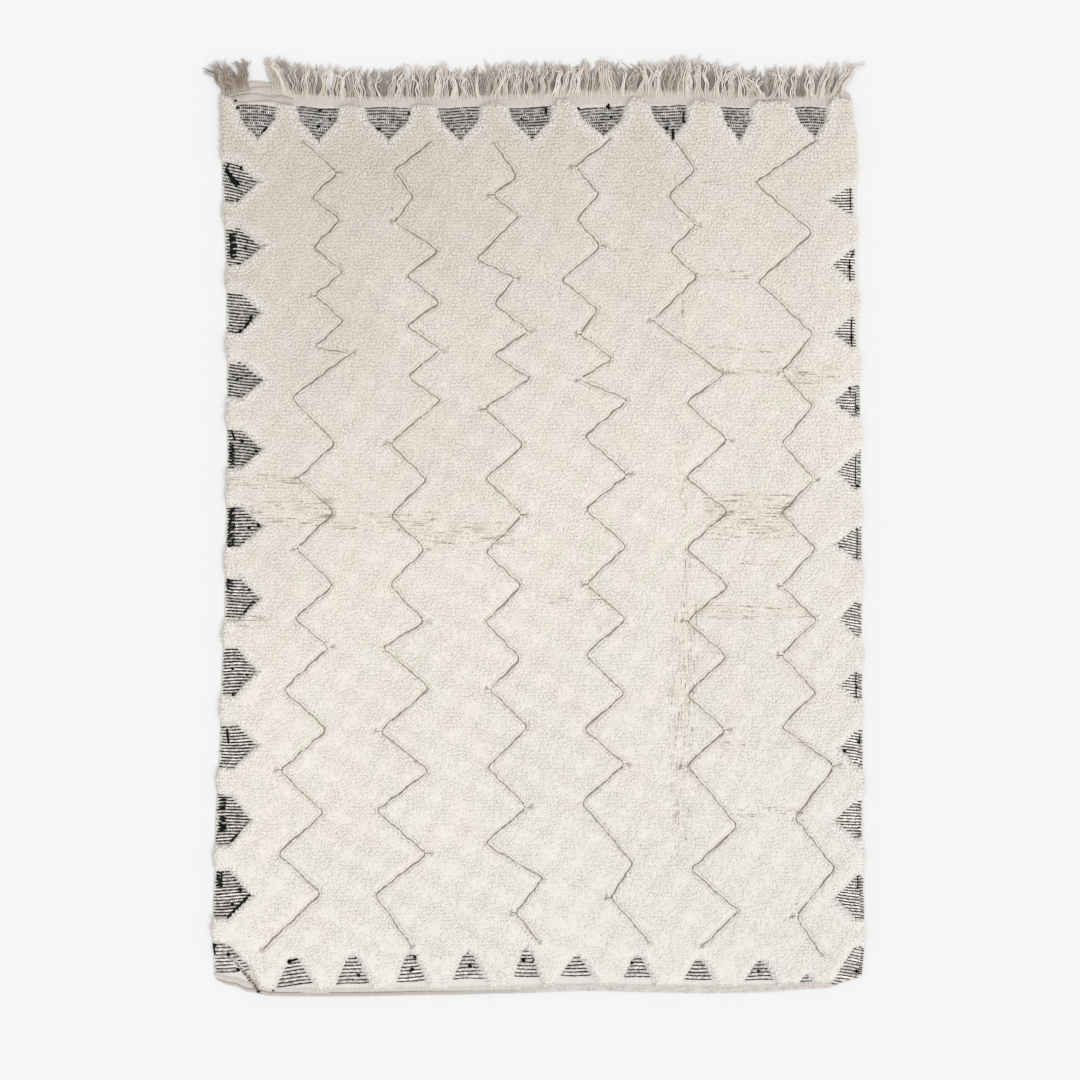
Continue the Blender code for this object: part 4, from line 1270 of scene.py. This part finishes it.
def knot_pile(sizes, colours, plan):
    """The pile: thousands of blunt tufts, each a bent three-sided lock.

    A lock has one point at its foot, a ring at its shoulder, carried sideways by half of its lean, and
    one point at its head. Beside a groove its flat side faces the groove.
    """
    chance = np.random.default_rng(PILE_SEED)
    places, outward = tuft_heads(sizes, plan, chance)
    rim = np.linalg.norm(outward, axis=1) > 0.5
    foot, top, lean, half = tuft_shapes(places, rim, sizes, plan, chance)
    count = len(places)
    x, y = lying(places[:, 0], places[:, 1])
    start = np.where(rim, np.arctan2(outward[:, 1], outward[:, 0]), chance.uniform(0.0, 2.0 * math.pi, count))
    turn = start[:, None] + 2.0 * math.pi * np.arange(3) / 3.0
    head = np.column_stack([x, y])
    shoulder = head - 0.45 * lean
    ring = shoulder[:, None] + half[:, None, None] * np.stack([np.cos(turn), 1.15 * np.sin(turn)], -1)
    points = np.zeros((count, 5, 3))
    points[:, 0, :2] = head - lean
    points[:, 0, 2] = np.maximum(foot - ROOT_DROP, 0.5 * sizes.ground_thickness)
    points[:, 1:4, :2] = ring
    points[:, 1:4, 2] = (top - sizes.blunt * (top - foot))[:, None]
    points[:, 1:4, 2] -= 0.08 * (ring[..., 1] - shoulder[:, None, 1])
    points[:, 4, :2] = head
    points[:, 4, 2] = top
    off_triangles = outside_triangles(places, plan.triangles)
    found = {
        "tuft": chance.uniform(0.0, 1.0, count),
        # seam: where painted shade is mixed in, 1 beside a groove and 0 from 12 mm away
        "seam": ramp(1.2 - plan.from_groove(places) / 0.010),
        "parted": plan.parted(places),
        "folded": plan.folded(places),
        "soil": plan.soil(places),
        "cool": ramp(1.0 - off_triangles / 0.040),
    }
    marks = {name: np.repeat(values[:, None], 5, axis=1) for name, values in found.items()}
    # depth: 0 at a tuft's foot, 0.8 at its shoulder, 1 at its head; the finish paints shade towards the foot
    marks["depth"] = np.broadcast_to(np.array([0.0] + [0.80] * 3 + [1.0]), (count, 5))
    finish = pile_finish(colours)
    band = np.clip(places[:, 1] / CLOTH_LENGTH * sizes.bands, 0, sizes.bands - 1).astype(int)
    return [
        knot_band(f"pile_tufts_{number + 1}", np.flatnonzero(band == number), points, marks, finish)
        for number in range(sizes.bands)
    ]


def knot_band(name, mine, points, marks, finish):
    """One band of tufts as a piece. Its map gives each tuft a cell of a square net, laid out as a star."""
    corner = np.arange(len(mine))[:, None, None] * 5
    walls = (np.array([[0, 2, 1], [0, 3, 2], [0, 1, 3]]) + corner).reshape(-1, 3)
    caps = (np.array([[1, 2, 4], [2, 3, 4], [3, 1, 4]]) + corner).reshape(-1, 3)
    wide = int(math.ceil(math.sqrt(len(mine))))
    rank = np.arange(len(mine))
    cell = np.column_stack([rank % wide + 0.5, rank // wide + 0.5]) / wide
    angle = 2.0 * math.pi * np.arange(3) / 3.0
    spoke = np.column_stack([np.cos(angle), np.sin(angle)])
    between = 0.48 * (spoke + np.roll(spoke, -1, axis=0))
    star = np.stack([between, np.roll(0.30 * spoke, -1, axis=0), 0.30 * spoke], axis=1)
    tip = np.stack([0.30 * spoke, np.roll(0.30 * spoke, -1, axis=0), np.zeros((3, 2))], axis=1)
    wall_map = (cell[:, None, None] + star / wide).reshape(-1, 3, 2)
    cap_map = (cell[:, None, None] + tip / wide).reshape(-1, 3, 2)
    mine_marks = {mark: values[mine] for mark, values in marks.items()}
    points = points[mine].reshape(-1, 3)
    return make_piece(name, points, [walls, caps], finish, mine_marks, [wall_map, cap_map])


def outline_of(corners):
    """A bare triangle's outline as it lies, its sides cut into short steps and ended at the cloth's edge."""
    step = np.linspace(0.0, 1.0, SIDE_STEPS + 1)[:-1, None]
    sides = [a + (b - a) * step for a, b in zip(corners, np.roll(corners, -1, axis=0))]
    places = np.concatenate(sides)
    across = np.clip(places[:, 0], LEFT_SELVEDGE - HALF_WIDTH, HALF_WIDTH - RIGHT_SELVEDGE)
    return np.column_stack(lying(across, np.maximum(places[:, 1], 0.004)))


def stripe_spans(plan):
    """Each stripe as a row: black or not, half width, shade, left and right X, Y, rise and middle X.

    Evenly spaced lines y = y0 + rise (x - middle) are cut off where they cross the outline.
    """
    spans = []
    for row, share, corners in plan.bare:
        spacing, black, dark, light, rise_a, rise_b, low_a, low_b = STRIPE_ROWS[row]
        rise = rise_a + (rise_b - rise_a) * share
        lowest = low_a + (low_b - low_a) * share
        outline = outline_of(corners)
        middle = 0.5 * (outline[:, 0].min() + outline[:, 0].max())
        level = outline[:, 1] - rise * (outline[:, 0] - middle)
        bottom, top = level.min(), level.max()
        start = 0.5 * (bottom + top)
        if row < FRINGED_ROWS:
            start = top = min(level[0], level[4 * SIDE_STEPS]) - 0.30 * spacing
        if lowest > 0.0:
            bottom = start = lying(corners[:, 0].mean(), lowest)[1]
        ahead_x, ahead = np.roll(outline[:, 0], -1), np.roll(level, -1)
        for k in range(-60, 61):
            y = start + 0.5 * spacing * k
            cut = (level - y) * (ahead - y) < 0.0
            if y < bottom - 1e-6 or y > top + 1e-6 or not cut.any():
                continue
            part = (y - level[cut]) / (ahead[cut] - level[cut])
            crossings = outline[cut, 0] + part * (ahead_x[cut] - outline[cut, 0])
            left, right = crossings.min(), crossings.max()
            if right - left > 0.004:
                width = black if k % 2 == 0 else 1.0 - black
                shade = dark if k % 2 == 0 else light
                spans.append((k % 2, 0.5 * spacing * width, shade, left, right, y, rise, middle))
    return np.array(spans)


def weft_paths(spans, sizes, chance, joints=17):
    """Each stripe's centre line: straight across with a slight waver, resting on the ground."""
    share = np.linspace(0.0, 1.0, joints)
    left, right, level, rise, middle = (spans[:, k, None] for k in range(3, 8))
    left = left + chance.uniform(-0.0030, 0.0028, left.shape)
    right = right + chance.uniform(-0.0028, 0.0030, right.shape)
    x = left + (right - left) * share
    phase = chance.uniform(0.0, 6.28, left.shape)
    y = level + rise * (x - middle) + 0.0005 * np.sin(60.0 * x + phase) + chance.normal(0.0, 0.0003, x.shape)
    y = y + 0.0013 * np.sin(47.0 * x + 9.0 * middle + 11.0 * level)
    z = sizes.ground_thickness + YARN_LIFT + chance.normal(0.0, 0.00016, x.shape)
    return np.stack([x, y, z], axis=-1)


def weave_stripes(sizes, colours, plan):
    """The triangles' black and cream stripes: low ovals carried across, with specks where a warp shows."""
    chance = np.random.default_rng(STRIPE_SEED)
    spans = stripe_spans(plan)
    black = yarn_finish("black_yarn", colours.black_yarn, 0.5, 0.02, beads=17.0)
    cream = yarn_finish("cream_yarn", colours.bare_weave, 0.2, 0.2, beads=0.12)
    pieces = []
    for name, kind, high, specks, finish in (
        ("black_stripes", 0, 0.0012, 3.5, black),
        ("cream_stripes", 1, 0.0009, -0.4, cream),
    ):
        mine = spans[spans[:, 0] == kind]
        paths = weft_paths(mine, sizes, chance)
        count, joints = paths.shape[:2]
        share = np.linspace(0.0, 1.0, joints)
        taper = 0.45 + 0.55 * ramp(np.minimum(share, 1.0 - share) / 0.08)
        swell = 1.0 + chance.normal(0.0, 0.20, (count, joints))
        wide, tall = mine[:, 1, None] * taper * swell, high * taper * swell
        speck = 1.0 + specks * (chance.uniform(0.0, 1.0, (count, joints)) > 0.76)
        shade = mine[:, 2:3] * chance.uniform(0.85, 1.15, (count, 1)) * speck
        strand = chance.uniform(0.0, 1.0, count)
        pieces.append(make_yarns(name, paths, wide, tall, 6, finish, strand, shade))
    return pieces


def float_rows(chance):
    """Every float's ends and thickness: the table's own and the short ones of its bands."""
    rows = [list(row) for row in FLOAT_ROWS]
    for across, half, upper, lower, rise, thick in BAND_ROWS:
        count = int(round((upper - lower) / FLOAT_SPACING))
        for k in range(count):
            along = upper - (upper - lower) * (k + 0.5) / count + chance.uniform(-0.001, 0.001)
            slant = 0.5 * rise * chance.uniform(0.5, 1.3)
            ends = chance.uniform(-0.0015, 0.0015, 2)
            left, right = across - half + ends[0], across + half + ends[1]
            rows.append([left, along - slant, right, along + slant, thick * chance.uniform(0.75, 1.1)])
    return np.array(rows)


def lay_floats(sizes, colours):
    """Loose black floats: each a yarn from end to end with a slight bow, sunk into the weave at its ends."""
    chance = np.random.default_rng(FLOAT_SEED)
    rows = float_rows(chance)
    joints = 12
    share = np.linspace(0.0, 1.0, joints)
    bow = chance.normal(0.0, 0.0012, (len(rows), 1)) * np.sin(math.pi * share)
    run = rows[:, 2:4] - rows[:, 0:2]
    length = np.linalg.norm(run, axis=1, keepdims=True)
    across = rows[:, 0:1] + run[:, :1] * share - bow * run[:, 1:] / length
    along = rows[:, 1:2] + run[:, 1:] * share + bow * run[:, :1] / length
    across = np.clip(across, 0.0015 - HALF_WIDTH, HALF_WIDTH - 0.0015)
    x, y = lying(across, along)
    arch = np.minimum(share, 1.0 - share) / 0.12
    z = sizes.ground_thickness + YARN_LIFT + 0.0016 * ramp(arch)
    z = z + 0.0003 * np.sin(9.0 * share + rows[:, :1] * 900.0)
    half = 0.68 * rows[:, 4:5] * (0.45 + 0.55 * ramp(arch))
    half = half * (1.0 + chance.normal(0.0, 0.08, half.shape))
    strand, shade = chance.uniform(0.0, 1.0, len(rows)), chance.uniform(0.5, 1.2, (len(rows), 1))
    paths, tall = np.stack([x, y, z], axis=-1), 0.6 * np.minimum(half, 0.003)
    finish = yarn_finish("float_yarn", colours.black_yarn, 0.5, 0.02)
    return make_yarns("black_floats", paths, half, tall, 6, finish, strand, shade)


def tie_knots(sizes, colours):
    """Small knots of black yarn: a loop and a third around each one's place, rising and falling."""
    chance = np.random.default_rng(KNOT_SEED)
    at = np.array(KNOT_ROWS)
    count, joints = len(at), 18
    size = at[:, 2:3]
    share = np.linspace(0.0, 1.0, joints)
    start = chance.uniform(0.0, 6.28, (count, 1))
    angle = start + 3.4 * math.pi * share * chance.choice([-1.0, 1.0], (count, 1))
    radius = 0.0029 * size * (1.0 - 0.75 * share) * chance.uniform(0.9, 1.15, (count, 1))
    x, y = lying(np.clip(at[:, 0], -0.846, 0.846), at[:, 1])
    path_x = x[:, None] + 1.25 * radius * np.cos(angle)
    path_y = y[:, None] + radius * np.sin(angle)
    path_z = sizes.ground_thickness + 0.0024 + 0.0009 * np.sin(2.0 * angle) + 0.0022 * share
    paths = np.stack([path_x, path_y, path_z], axis=-1)
    half = 0.0019 * size * (1.0 - 0.4 * share**3)
    strand, shade = chance.uniform(0.0, 1.0, count), chance.uniform(0.5, 1.2, (count, 1))
    finish = yarn_finish("knot_yarn", colours.black_yarn, 0.5, 0.02)
    return make_yarns("tied_knots", paths, half, half, 5, finish, strand, shade)


def fringe_roots(sizes, chance):
    """A row for each yarn: root, tuft's middle, shift of the tip, length, layer, lock's number, shade."""
    rows = []
    lock = 0
    for start, end, shift, length, tone in TUFT_ROWS:
        count = int(round((end - start + 0.006) / sizes.fringe_spacing * (1.0 + 10.0 * abs(shift))))
        roots = np.linspace(start - 0.003, end + 0.003, count) + chance.uniform(-0.0015, 0.0015, count)
        reach = length * (0.93 + 0.08 * np.sin(np.arange(count) * 0.9)) * chance.uniform(0.90, 1.04, count)
        for k in range(count):
            if k % 5 == 0:
                lock, level = lock + 1, chance.uniform(0.36, 1.0)
            layer = level + chance.uniform(-0.10, 0.06)
            rows.append((roots[k], 0.5 * (start + end), shift, reach[k], layer, lock, tone))
    count = int(round(2.10 / sizes.fringe_spacing))
    for k, root in enumerate(np.linspace(-0.700, 0.815, count) + chance.uniform(-0.002, 0.002, count)):
        lock += k % 4 == 0
        shift, length = chance.normal(0.0, 0.006), chance.uniform(0.054, 0.085)
        rows.append((root, root, shift, length, chance.uniform(0.0, 0.24), lock, 1.0))
    return np.array(rows)


def around_openings(across, past):
    """Leads each yarn round the fringe's openings, on the side it mostly keeps to: d grows to w + 0.55 d."""
    for middle, rise, half_width, half_height in OPENING_ROWS:
        side = np.where(across.mean(axis=1, keepdims=True) < middle, -1.0, 1.0)
        off = side * (across - middle)
        high = np.sqrt(np.clip(1.0 - ((past - rise) / (1.4 * half_height)) ** 2, 0.0, 1.0))
        near = ramp((2.2 * half_width - off) / (0.6 * half_width))
        moved = half_width * high + 0.55 * np.maximum(off, 0.0)
        across = across + side * (moved - off) * near * ramp(high / 0.5)
    return across


def fringe_paths(sizes, chance, joints=20):
    """Each fringe yarn's centre line, its layer, how far past the cloth's end it is, and its shade.

    It starts sunk into the cloth's end, is drawn towards its tuft's middle and fans out again past it.
    Yarns of one lock share their lean, waves and curl, which grow towards the tip. It rests on the
    cloth, on the floor or on the yarns below it.
    """
    share = np.linspace(0.0, 1.0, joints)
    root, middle, shift, length, layer, lock, tone = fringe_roots(sizes, chance).T[..., None]
    count = len(root)
    locks = lock[:, 0].astype(int)
    shared = chance.uniform(0.0, 1.0, (locks.max() + 1, 6))[locks][..., None]
    own = chance.normal(0.0, 1.0, (count, 3))[..., None]
    off = root - middle
    pinch = -off * (0.05 + 0.40 * shared[:, 0]) * np.sin(math.pi * np.minimum(share / 0.95, 1.0))
    fan = (0.026 * (shared[:, 1] - 0.5) + 0.0022 * own[:, 0]) * share**1.2
    pace = 8.0 + 9.0 * shared[:, 2] + 0.6 * own[:, 1]
    phase = 6.28 * shared[:, 3]
    size = 0.0022 + 0.0032 * shared[:, 4]
    wave = size * (np.sin(pace * share + phase) - np.sin(phase)) * share**0.5
    wave = wave + 0.0009 * np.sin((15.0 + 3.0 * own[:, 1]) * share + 6.0 * own[:, 2]) * share
    curl = (0.034 * (shared[:, 5] - 0.5) * tone**2 + 0.003 * own[:, 2]) * ramp((share - 0.60) / 0.40) ** 1.5
    across = root + shift * share**1.2 + pinch + fan + wave + curl
    back = (0.002 + 0.024 * shared[:, 0] ** 3) * ramp((share - 0.66) / 0.34) ** 2
    past = (length + sizes.fringe_overlap) * share - sizes.fringe_overlap - back
    across = around_openings(across, past)
    x, y = lying(across, CLOTH_LENGTH + np.minimum(past, 0.0))
    y = y + np.maximum(past, 0.0)
    half = 0.5 * sizes.fringe_yarn
    z = half + 0.0004 + (0.0008 + 0.0050 * layer) * np.sin(math.pi * share**0.75) ** 0.8
    overlap = sizes.fringe_overlap
    sunk = sizes.ground_thickness - 0.9 * half + 1.4 * half * ramp((past + overlap) / overlap)
    z = np.maximum(z, sunk * ramp((0.004 - past) / 0.006)) + 0.0014 * layer * ramp(past / 0.01)
    z = z + 0.0010 * (np.sin(pace * 1.3 * share + 2.0 * phase) + 1.0) * share
    return np.stack([x, y, z], axis=-1), layer, past, tone


def bow_paths(sizes, joints=20):
    """Warps that bow over the raised corner: lines at even distances inside the cloth's end."""
    share = np.linspace(0.0, 1.0, joints)
    number = np.arange(BOWS)[:, None]
    across = BOW_ACROSS[0] + (BOW_ACROSS[1] - BOW_ACROSS[0]) * (share * (1.0 - 0.03 * number) + 0.02 * number)
    along = CLOTH_LENGTH - 0.0022 - BOW_SPACING * number + 0.0012 * np.sin(9.0 * share + 1.7 * number)
    x, y = lying(across, along)
    z = sizes.ground_thickness + 0.0007 + 0.0004 * np.sin(17.0 * share + number)
    return np.stack([x, y, z], axis=-1)


def knot_fringe(sizes, colours):
    """The fringe: loose warp yarns, each a round yarn carried along its path and thinner at its tip. Yarns low
    in the fringe carry painted shade.
    """
    chance = np.random.default_rng(FRINGE_SEED)
    paths, layer, past, tone = fringe_paths(sizes, chance)
    bows = bow_paths(sizes)
    joints = paths.shape[1]
    share = np.linspace(0.0, 1.0, joints)
    half = 0.5 * sizes.fringe_yarn * chance.uniform(0.66, 1.10, (len(paths), 1))
    half = half * (1.0 - 0.30 * share**2 - 0.45 * share**8)
    # Painted shade: yarns low in the fringe are painted darker, towards the fringe shade colour, and darker
    # still just past the cloth's end
    shade = (0.07 + 1.05 * layer) * tone * chance.uniform(0.82, 1.12, (len(paths), 1))
    low = ramp((past + 0.002) / 0.008) * ramp((0.040 - past) / 0.030)
    shade = shade * (1.0 - (0.10 - 0.08 * layer) * low) + 0.32 * tone * share**2
    shade = shade + 0.85 * (0.86 * (0.35 + 0.65 * tone) - shade) * ramp((0.001 - past) / 0.010)
    bow_shade = np.array(BOW_SHADES)[:, None] * np.ones(joints)
    paths = np.concatenate([paths, bows])
    half = np.concatenate([half, np.full(bows.shape[:2], 0.5 * sizes.fringe_yarn)])
    shade = np.concatenate([shade, bow_shade])
    upper = np.concatenate([layer[:, 0] > 0.26, np.ones(len(bows), bool)])
    strand = chance.uniform(0.0, 1.0, len(paths))
    finish = yarn_finish("fringe_wool", colours.fringe, 0.18, 0.25, deep=colours.fringe_shade)
    pieces = []
    for name, mine in (("fringe_yarns", upper), ("fringe_under", ~upper)):
        wide = half[mine]
        pieces.append(make_yarns(name, paths[mine], wide, wide, 4, finish, strand[mine], shade[mine]))
    return pieces


def light_studio(scene):
    """White all around, and a soft sun from the upper right."""
    world = bpy.data.worlds.new("studio")
    world.use_nodes = True
    background = world.node_tree.nodes["Background"]
    background.inputs["Color"].default_value = (1.0, 1.0, 1.0, 1.0)
    background.inputs["Strength"].default_value = SKY_STRENGTH
    scene.world = world
    key = bpy.data.lights.new("key", "SUN")
    key.energy, key.angle = SUN_STRENGTH, math.radians(28.0)
    lamp = bpy.data.objects.new("key", key)
    lamp.rotation_euler = Vector(SUN_FROM).to_track_quat("Z", "Y").to_euler()
    scene.collection.objects.link(lamp)


def place_camera(scene):
    """The camera straight above the rug, at the distance where its view is VIEW_WIDTH wide."""
    view = bpy.data.cameras.new("camera")
    view.lens, view.sensor_width = LENS, SENSOR
    view.clip_end = 100.0
    camera = bpy.data.objects.new("camera", view)
    camera.location = (*VIEW_MIDDLE, 0.015 + VIEW_WIDTH * LENS / SENSOR)
    scene.collection.objects.link(camera)
    scene.camera = camera


def lay_floor(scene, colours):
    """A plain pale floor just under the rug."""
    mesh = bpy.data.meshes.new("studio_floor")
    ends = ((-1, -1), (1, -1), (1, 1), (-1, 1))
    corners = [(x * FLOOR_REACH, y * FLOOR_REACH, FLOOR_LEVEL) for x, y in ends]
    mesh.from_pydata(corners, [], [(0, 1, 2, 3)])
    mesh.materials.append(Finish("studio_floor").done((*colours.floor, 1.0), 0.9, 0.0, 0.0))
    floor = bpy.data.objects.new("studio_floor", mesh)
    scene.collection.objects.link(floor)


# ---------------------------------------------------------------- operators


class RUG_OT_ground(bpy.types.Operator):
    """Weaves the ground that carries the pile, with its bare triangles, plain ends and underside"""

    bl_idname = "rug.ground"
    bl_label = "Weave Ground"

    def execute(self, context):
        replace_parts(weave_ground(*made_to(context)), "rug")
        return {"FINISHED"}


class RUG_OT_pile(bpy.types.Operator):
    """Knots the pile as joined tufts, in bands along the rug"""

    bl_idname = "rug.pile"
    bl_label = "Knot Pile"

    def execute(self, context):
        knot_pile(*made_to(context))
        return {"FINISHED"}


class RUG_OT_stripes(bpy.types.Operator):
    """Weaves the black and cream stripes of the bare triangles"""

    bl_idname = "rug.stripes"
    bl_label = "Weave Stripes"

    def execute(self, context):
        weave_stripes(*made_to(context))
        return {"FINISHED"}


class RUG_OT_floats(bpy.types.Operator):
    """Lays the loose black floats over the triangles and along their whipped edges"""

    bl_idname = "rug.floats"
    bl_label = "Lay Floats"

    def execute(self, context):
        lay_floats(*made_to(context)[:2])
        return {"FINISHED"}


class RUG_OT_knots(bpy.types.Operator):
    """Ties the small black knots into the triangles"""

    bl_idname = "rug.knots"
    bl_label = "Tie Knots"

    def execute(self, context):
        tie_knots(*made_to(context)[:2])
        return {"FINISHED"}


class RUG_OT_fringe(bpy.types.Operator):
    """Lays out the fringe's loose warp yarns"""

    bl_idname = "rug.fringe"
    bl_label = "Lay Fringe"

    def execute(self, context):
        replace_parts(knot_fringe(*made_to(context)[:2])[0], "fringe")
        return {"FINISHED"}


class RUG_OT_stage(bpy.types.Operator):
    """Sets up the pale floor, the soft studio light and the camera straight above"""

    bl_idname = "rug.stage"
    bl_label = "Set Stage"

    def execute(self, context):
        lay_floor(context.scene, made_to(context)[1])
        light_studio(context.scene)
        place_camera(context.scene)
        context.scene.view_settings.view_transform = "Standard"
        return {"FINISHED"}


class RUG_PT_panel(bpy.types.Panel):
    """The rug's pieces, sizes and colours"""

    bl_idname = "RUG_PT_panel"
    bl_label = "Knotted Wool Rug"
    bl_space_type = "VIEW_3D"
    bl_region_type = "UI"
    bl_category = "Rug"

    def draw(self, context):
        for operator in OPERATORS:
            self.layout.operator(operator.bl_idname)
        for group in (context.scene.rug_sizes, context.scene.rug_colours):
            for name in group.__annotations__:
                self.layout.prop(group, name)


OPERATORS = (
    RUG_OT_ground, RUG_OT_pile, RUG_OT_stripes, RUG_OT_floats, RUG_OT_knots, RUG_OT_fringe, RUG_OT_stage
)
CLASSES = (RugSizes, RugColours, *OPERATORS, RUG_PT_panel)


def register():
    for one in CLASSES:
        bpy.utils.register_class(one)
    bpy.types.Scene.rug_sizes = PointerProperty(type=RugSizes)
    bpy.types.Scene.rug_colours = PointerProperty(type=RugColours)


def unregister():
    del bpy.types.Scene.rug_colours
    del bpy.types.Scene.rug_sizes
    for one in reversed(CLASSES):
        bpy.utils.unregister_class(one)


def declare_cloth():
    """Lists the names of the pieces that go with the ground; nothing is done with the list."""
    objects = bpy.data.objects
    names = [o.name for o in objects if o.name.startswith("pile_tufts")]
    names += ["black_stripes", "cream_stripes", "black_floats", "tied_knots", "fringe_yarns", "fringe_under"]


def main():
    """Registers the add-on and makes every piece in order."""
    register()
    for operator in OPERATORS:
        group, name = operator.bl_idname.split(".")
        getattr(getattr(bpy.ops, group), name)()
    declare_cloth()


if __name__ == "__main__":
    main()
